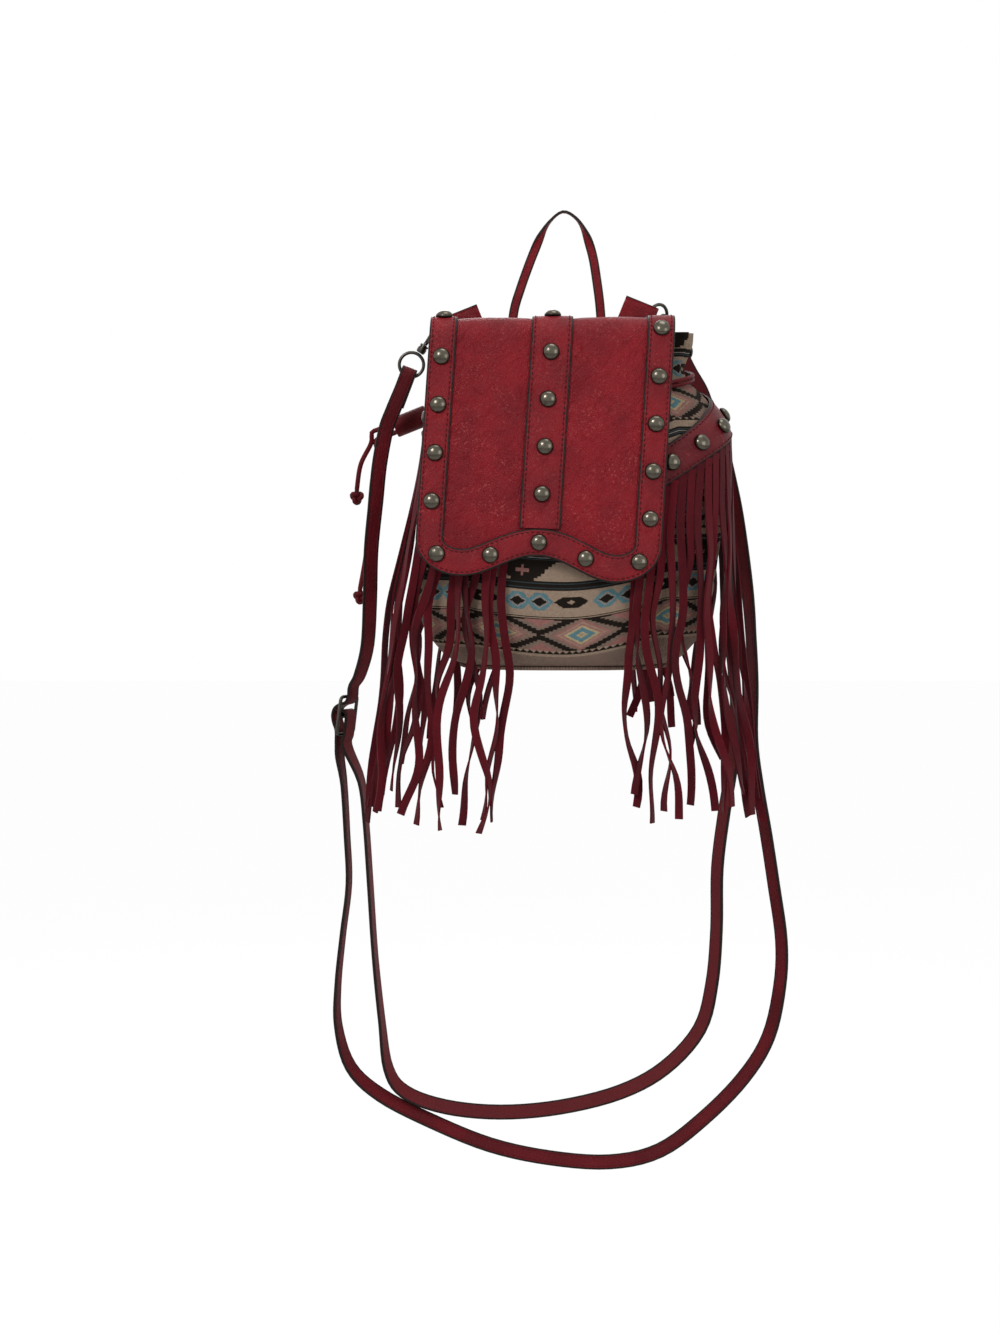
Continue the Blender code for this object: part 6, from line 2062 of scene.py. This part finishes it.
# %% Hook, barrel, gate and eye of one side
def hardware(side, sign):
    _, across, _, reach, centre_of_ring, far = hardware_frame(sign)
    made = {"ring": wire_ring(f"ring_{side}_wire", centre_of_ring, across.cross(reach), RING_R, RING_WIRE)}
    centre_of_eye = eye_centre(sign)
    axis = (centre_of_eye - far).normalized()
    flat = axis.cross(across).normalized()
    centre = far + axis * (HOOK_BEND_R - RING_WIRE - HOOK_WIRE - HOOK_PLAY)
    barrel_end = centre_of_eye - axis * (EYE_R + EYE_WIRE + GAP)
    barrel_start = barrel_end - axis * BARREL_LENGTH
    stem = (barrel_start - centre).dot(axis) - GAP
    seat = flat * (BARREL_R - HOOK_WIRE)
    route = [centre + axis * stem - seat, centre + axis * stem * HOOK_NECK - seat]
    route.append(centre + axis * stem * HOOK_SHOULDER - flat * HOOK_BEND_R)
    for k in range(13):
        turn = math.pi * k / 12
        route.append(centre - axis * HOOK_BEND_R * math.sin(turn) - flat * HOOK_BEND_R * math.cos(turn))
    route.append(centre + axis * HOOK_TIP + flat * HOOK_BEND_R)
    made["hook"] = round_solid(f"hook_{side}_wire", catmull(route, 0.0008), HOOK_WIRE, gunmetal, 14)
    r, length = BARREL_R, BARREL_LENGTH
    profile = [
        (0, 0), (r * 0.86, 0), (r, 0.0003), (r, 0.0012), (r * 0.84, 0.0015), (r * 0.84, 0.0021),
        (r, 0.0024), (r, length - 0.0012), (r * 0.88, length - 0.0003), (r * 0.66, length), (0, length),
    ]
    made["barrel"] = lathe_mesh(f"barrel_{side}_turned", profile, 28, gunmetal, barrel_start, axis)
    foot = centre + axis * (stem - GAP) + flat * (BARREL_R - GATE_WIRE)
    tip = centre + axis * (HOOK_TIP + GAP) + flat * HOOK_BEND_R
    way = (tip - foot).normalized()
    reach_of_gate = (tip - foot).length - GAP
    w = GATE_WIRE
    profile = [
        (0, GAP), (w * 0.8, GAP), (w, GAP + 0.0003),
        (w, reach_of_gate - 0.0003), (w * 0.7, reach_of_gate), (0, reach_of_gate),
    ]
    made["gate"] = lathe_mesh(f"gate_{side}_pin", profile, 16, gunmetal, foot, way)
    made["eye"] = wire_ring(f"eye_{side}_wire", centre_of_eye, eye_facing(sign), EYE_R, EYE_WIRE)
    return made


metal = {side: hardware(side, sign) for side, sign in (("left", -1), ("right", 1))}
print("hardware:", sorted(metal["left"]))

# %% [markdown]
# ## Hand the pieces to their bodies
# Each new piece rides on the body of the solid that it stands for, so that it opens and slides with it.


# %% Give each piece its body and hide its solids
def hand_over(obj, body, slot, *nodes):
    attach(obj, body)
    if nodes:
        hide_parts(*nodes)


stud_nodes = sorted(n for n in frame["nodes"] if n.startswith("stud_"))
band_stud_nodes = sorted(n for n in frame["nodes"] if n.startswith("band_stud_"))
for piece in (
        (body_cloth, "bag", "tapestry", "body_shell"),
        (lining_cloth, "bag", "lining_cloth", "lining"),
        (base_cloth, "bag", "tapestry", "base_panel"),
        (yoke, "bag", "red_leather", "back_yoke"),
        (loop, "bag", "red_leather", "hang_loop"),
        (flap_leather, "flap", "red_leather", "flap_panel"),
        (flap_border, "flap", "red_leather", "flap_border"),
        (flap_strip, "flap", "red_leather", "flap_centre_strip"),
        (flap_studs, "flap", "pewter", *stud_nodes),
        (band_studs, "bag", "pewter", *band_stud_nodes),
        (flap_stitches, "flap", "red_leather"),
        (bag_stitches, "bag", "red_leather"),
        (strap_stitches, "bag", "red_leather"),
        (strap, "bag", "red_leather", "shoulder_strap"),
        (slider, "bag", "gunmetal", "slider_buckle"),
        (neck_cords, "bag", "red_leather", "drawstring"),
        (toggle, "toggle", "red_leather", "toggle"),
        (ends[0][0], "bag", "red_leather", "drawstring_end_long"),
        (ends[1][0], "bag", "red_leather", "drawstring_end_short"),
        (knot_long, "bag", "red_leather", "knot_long"),
        (knot_short, "bag", "red_leather", "knot_short")):
    hand_over(*piece)
for side in ("left", "right"):
    hand_over(bands[side], "bag", "red_leather", f"band_{side}")
    hand_over(fringes[side][0], "bag", "red_suede", f"fringe_{side}")
    hand_over(tabs[side], "bag", "red_leather", f"tab_{side}")
    for part in ("ring", "hook", "barrel", "eye"):
        hand_over(metal[side][part], "bag", "gunmetal", f"{part}_{side}")
    hand_over(metal[side]["gate"], f"gate_{side}", "gunmetal", f"gate_{side}")

# %% The two halves of the snap keep their solids and get the dark metal
for name in ("snap_plate", "snap_socket"):
    solid = frame["nodes"][name]
    solid.data.materials.clear()
    solid.data.materials.append(gunmetal)

for side in ("left", "right"):
    piece, area, span = fringes[side]
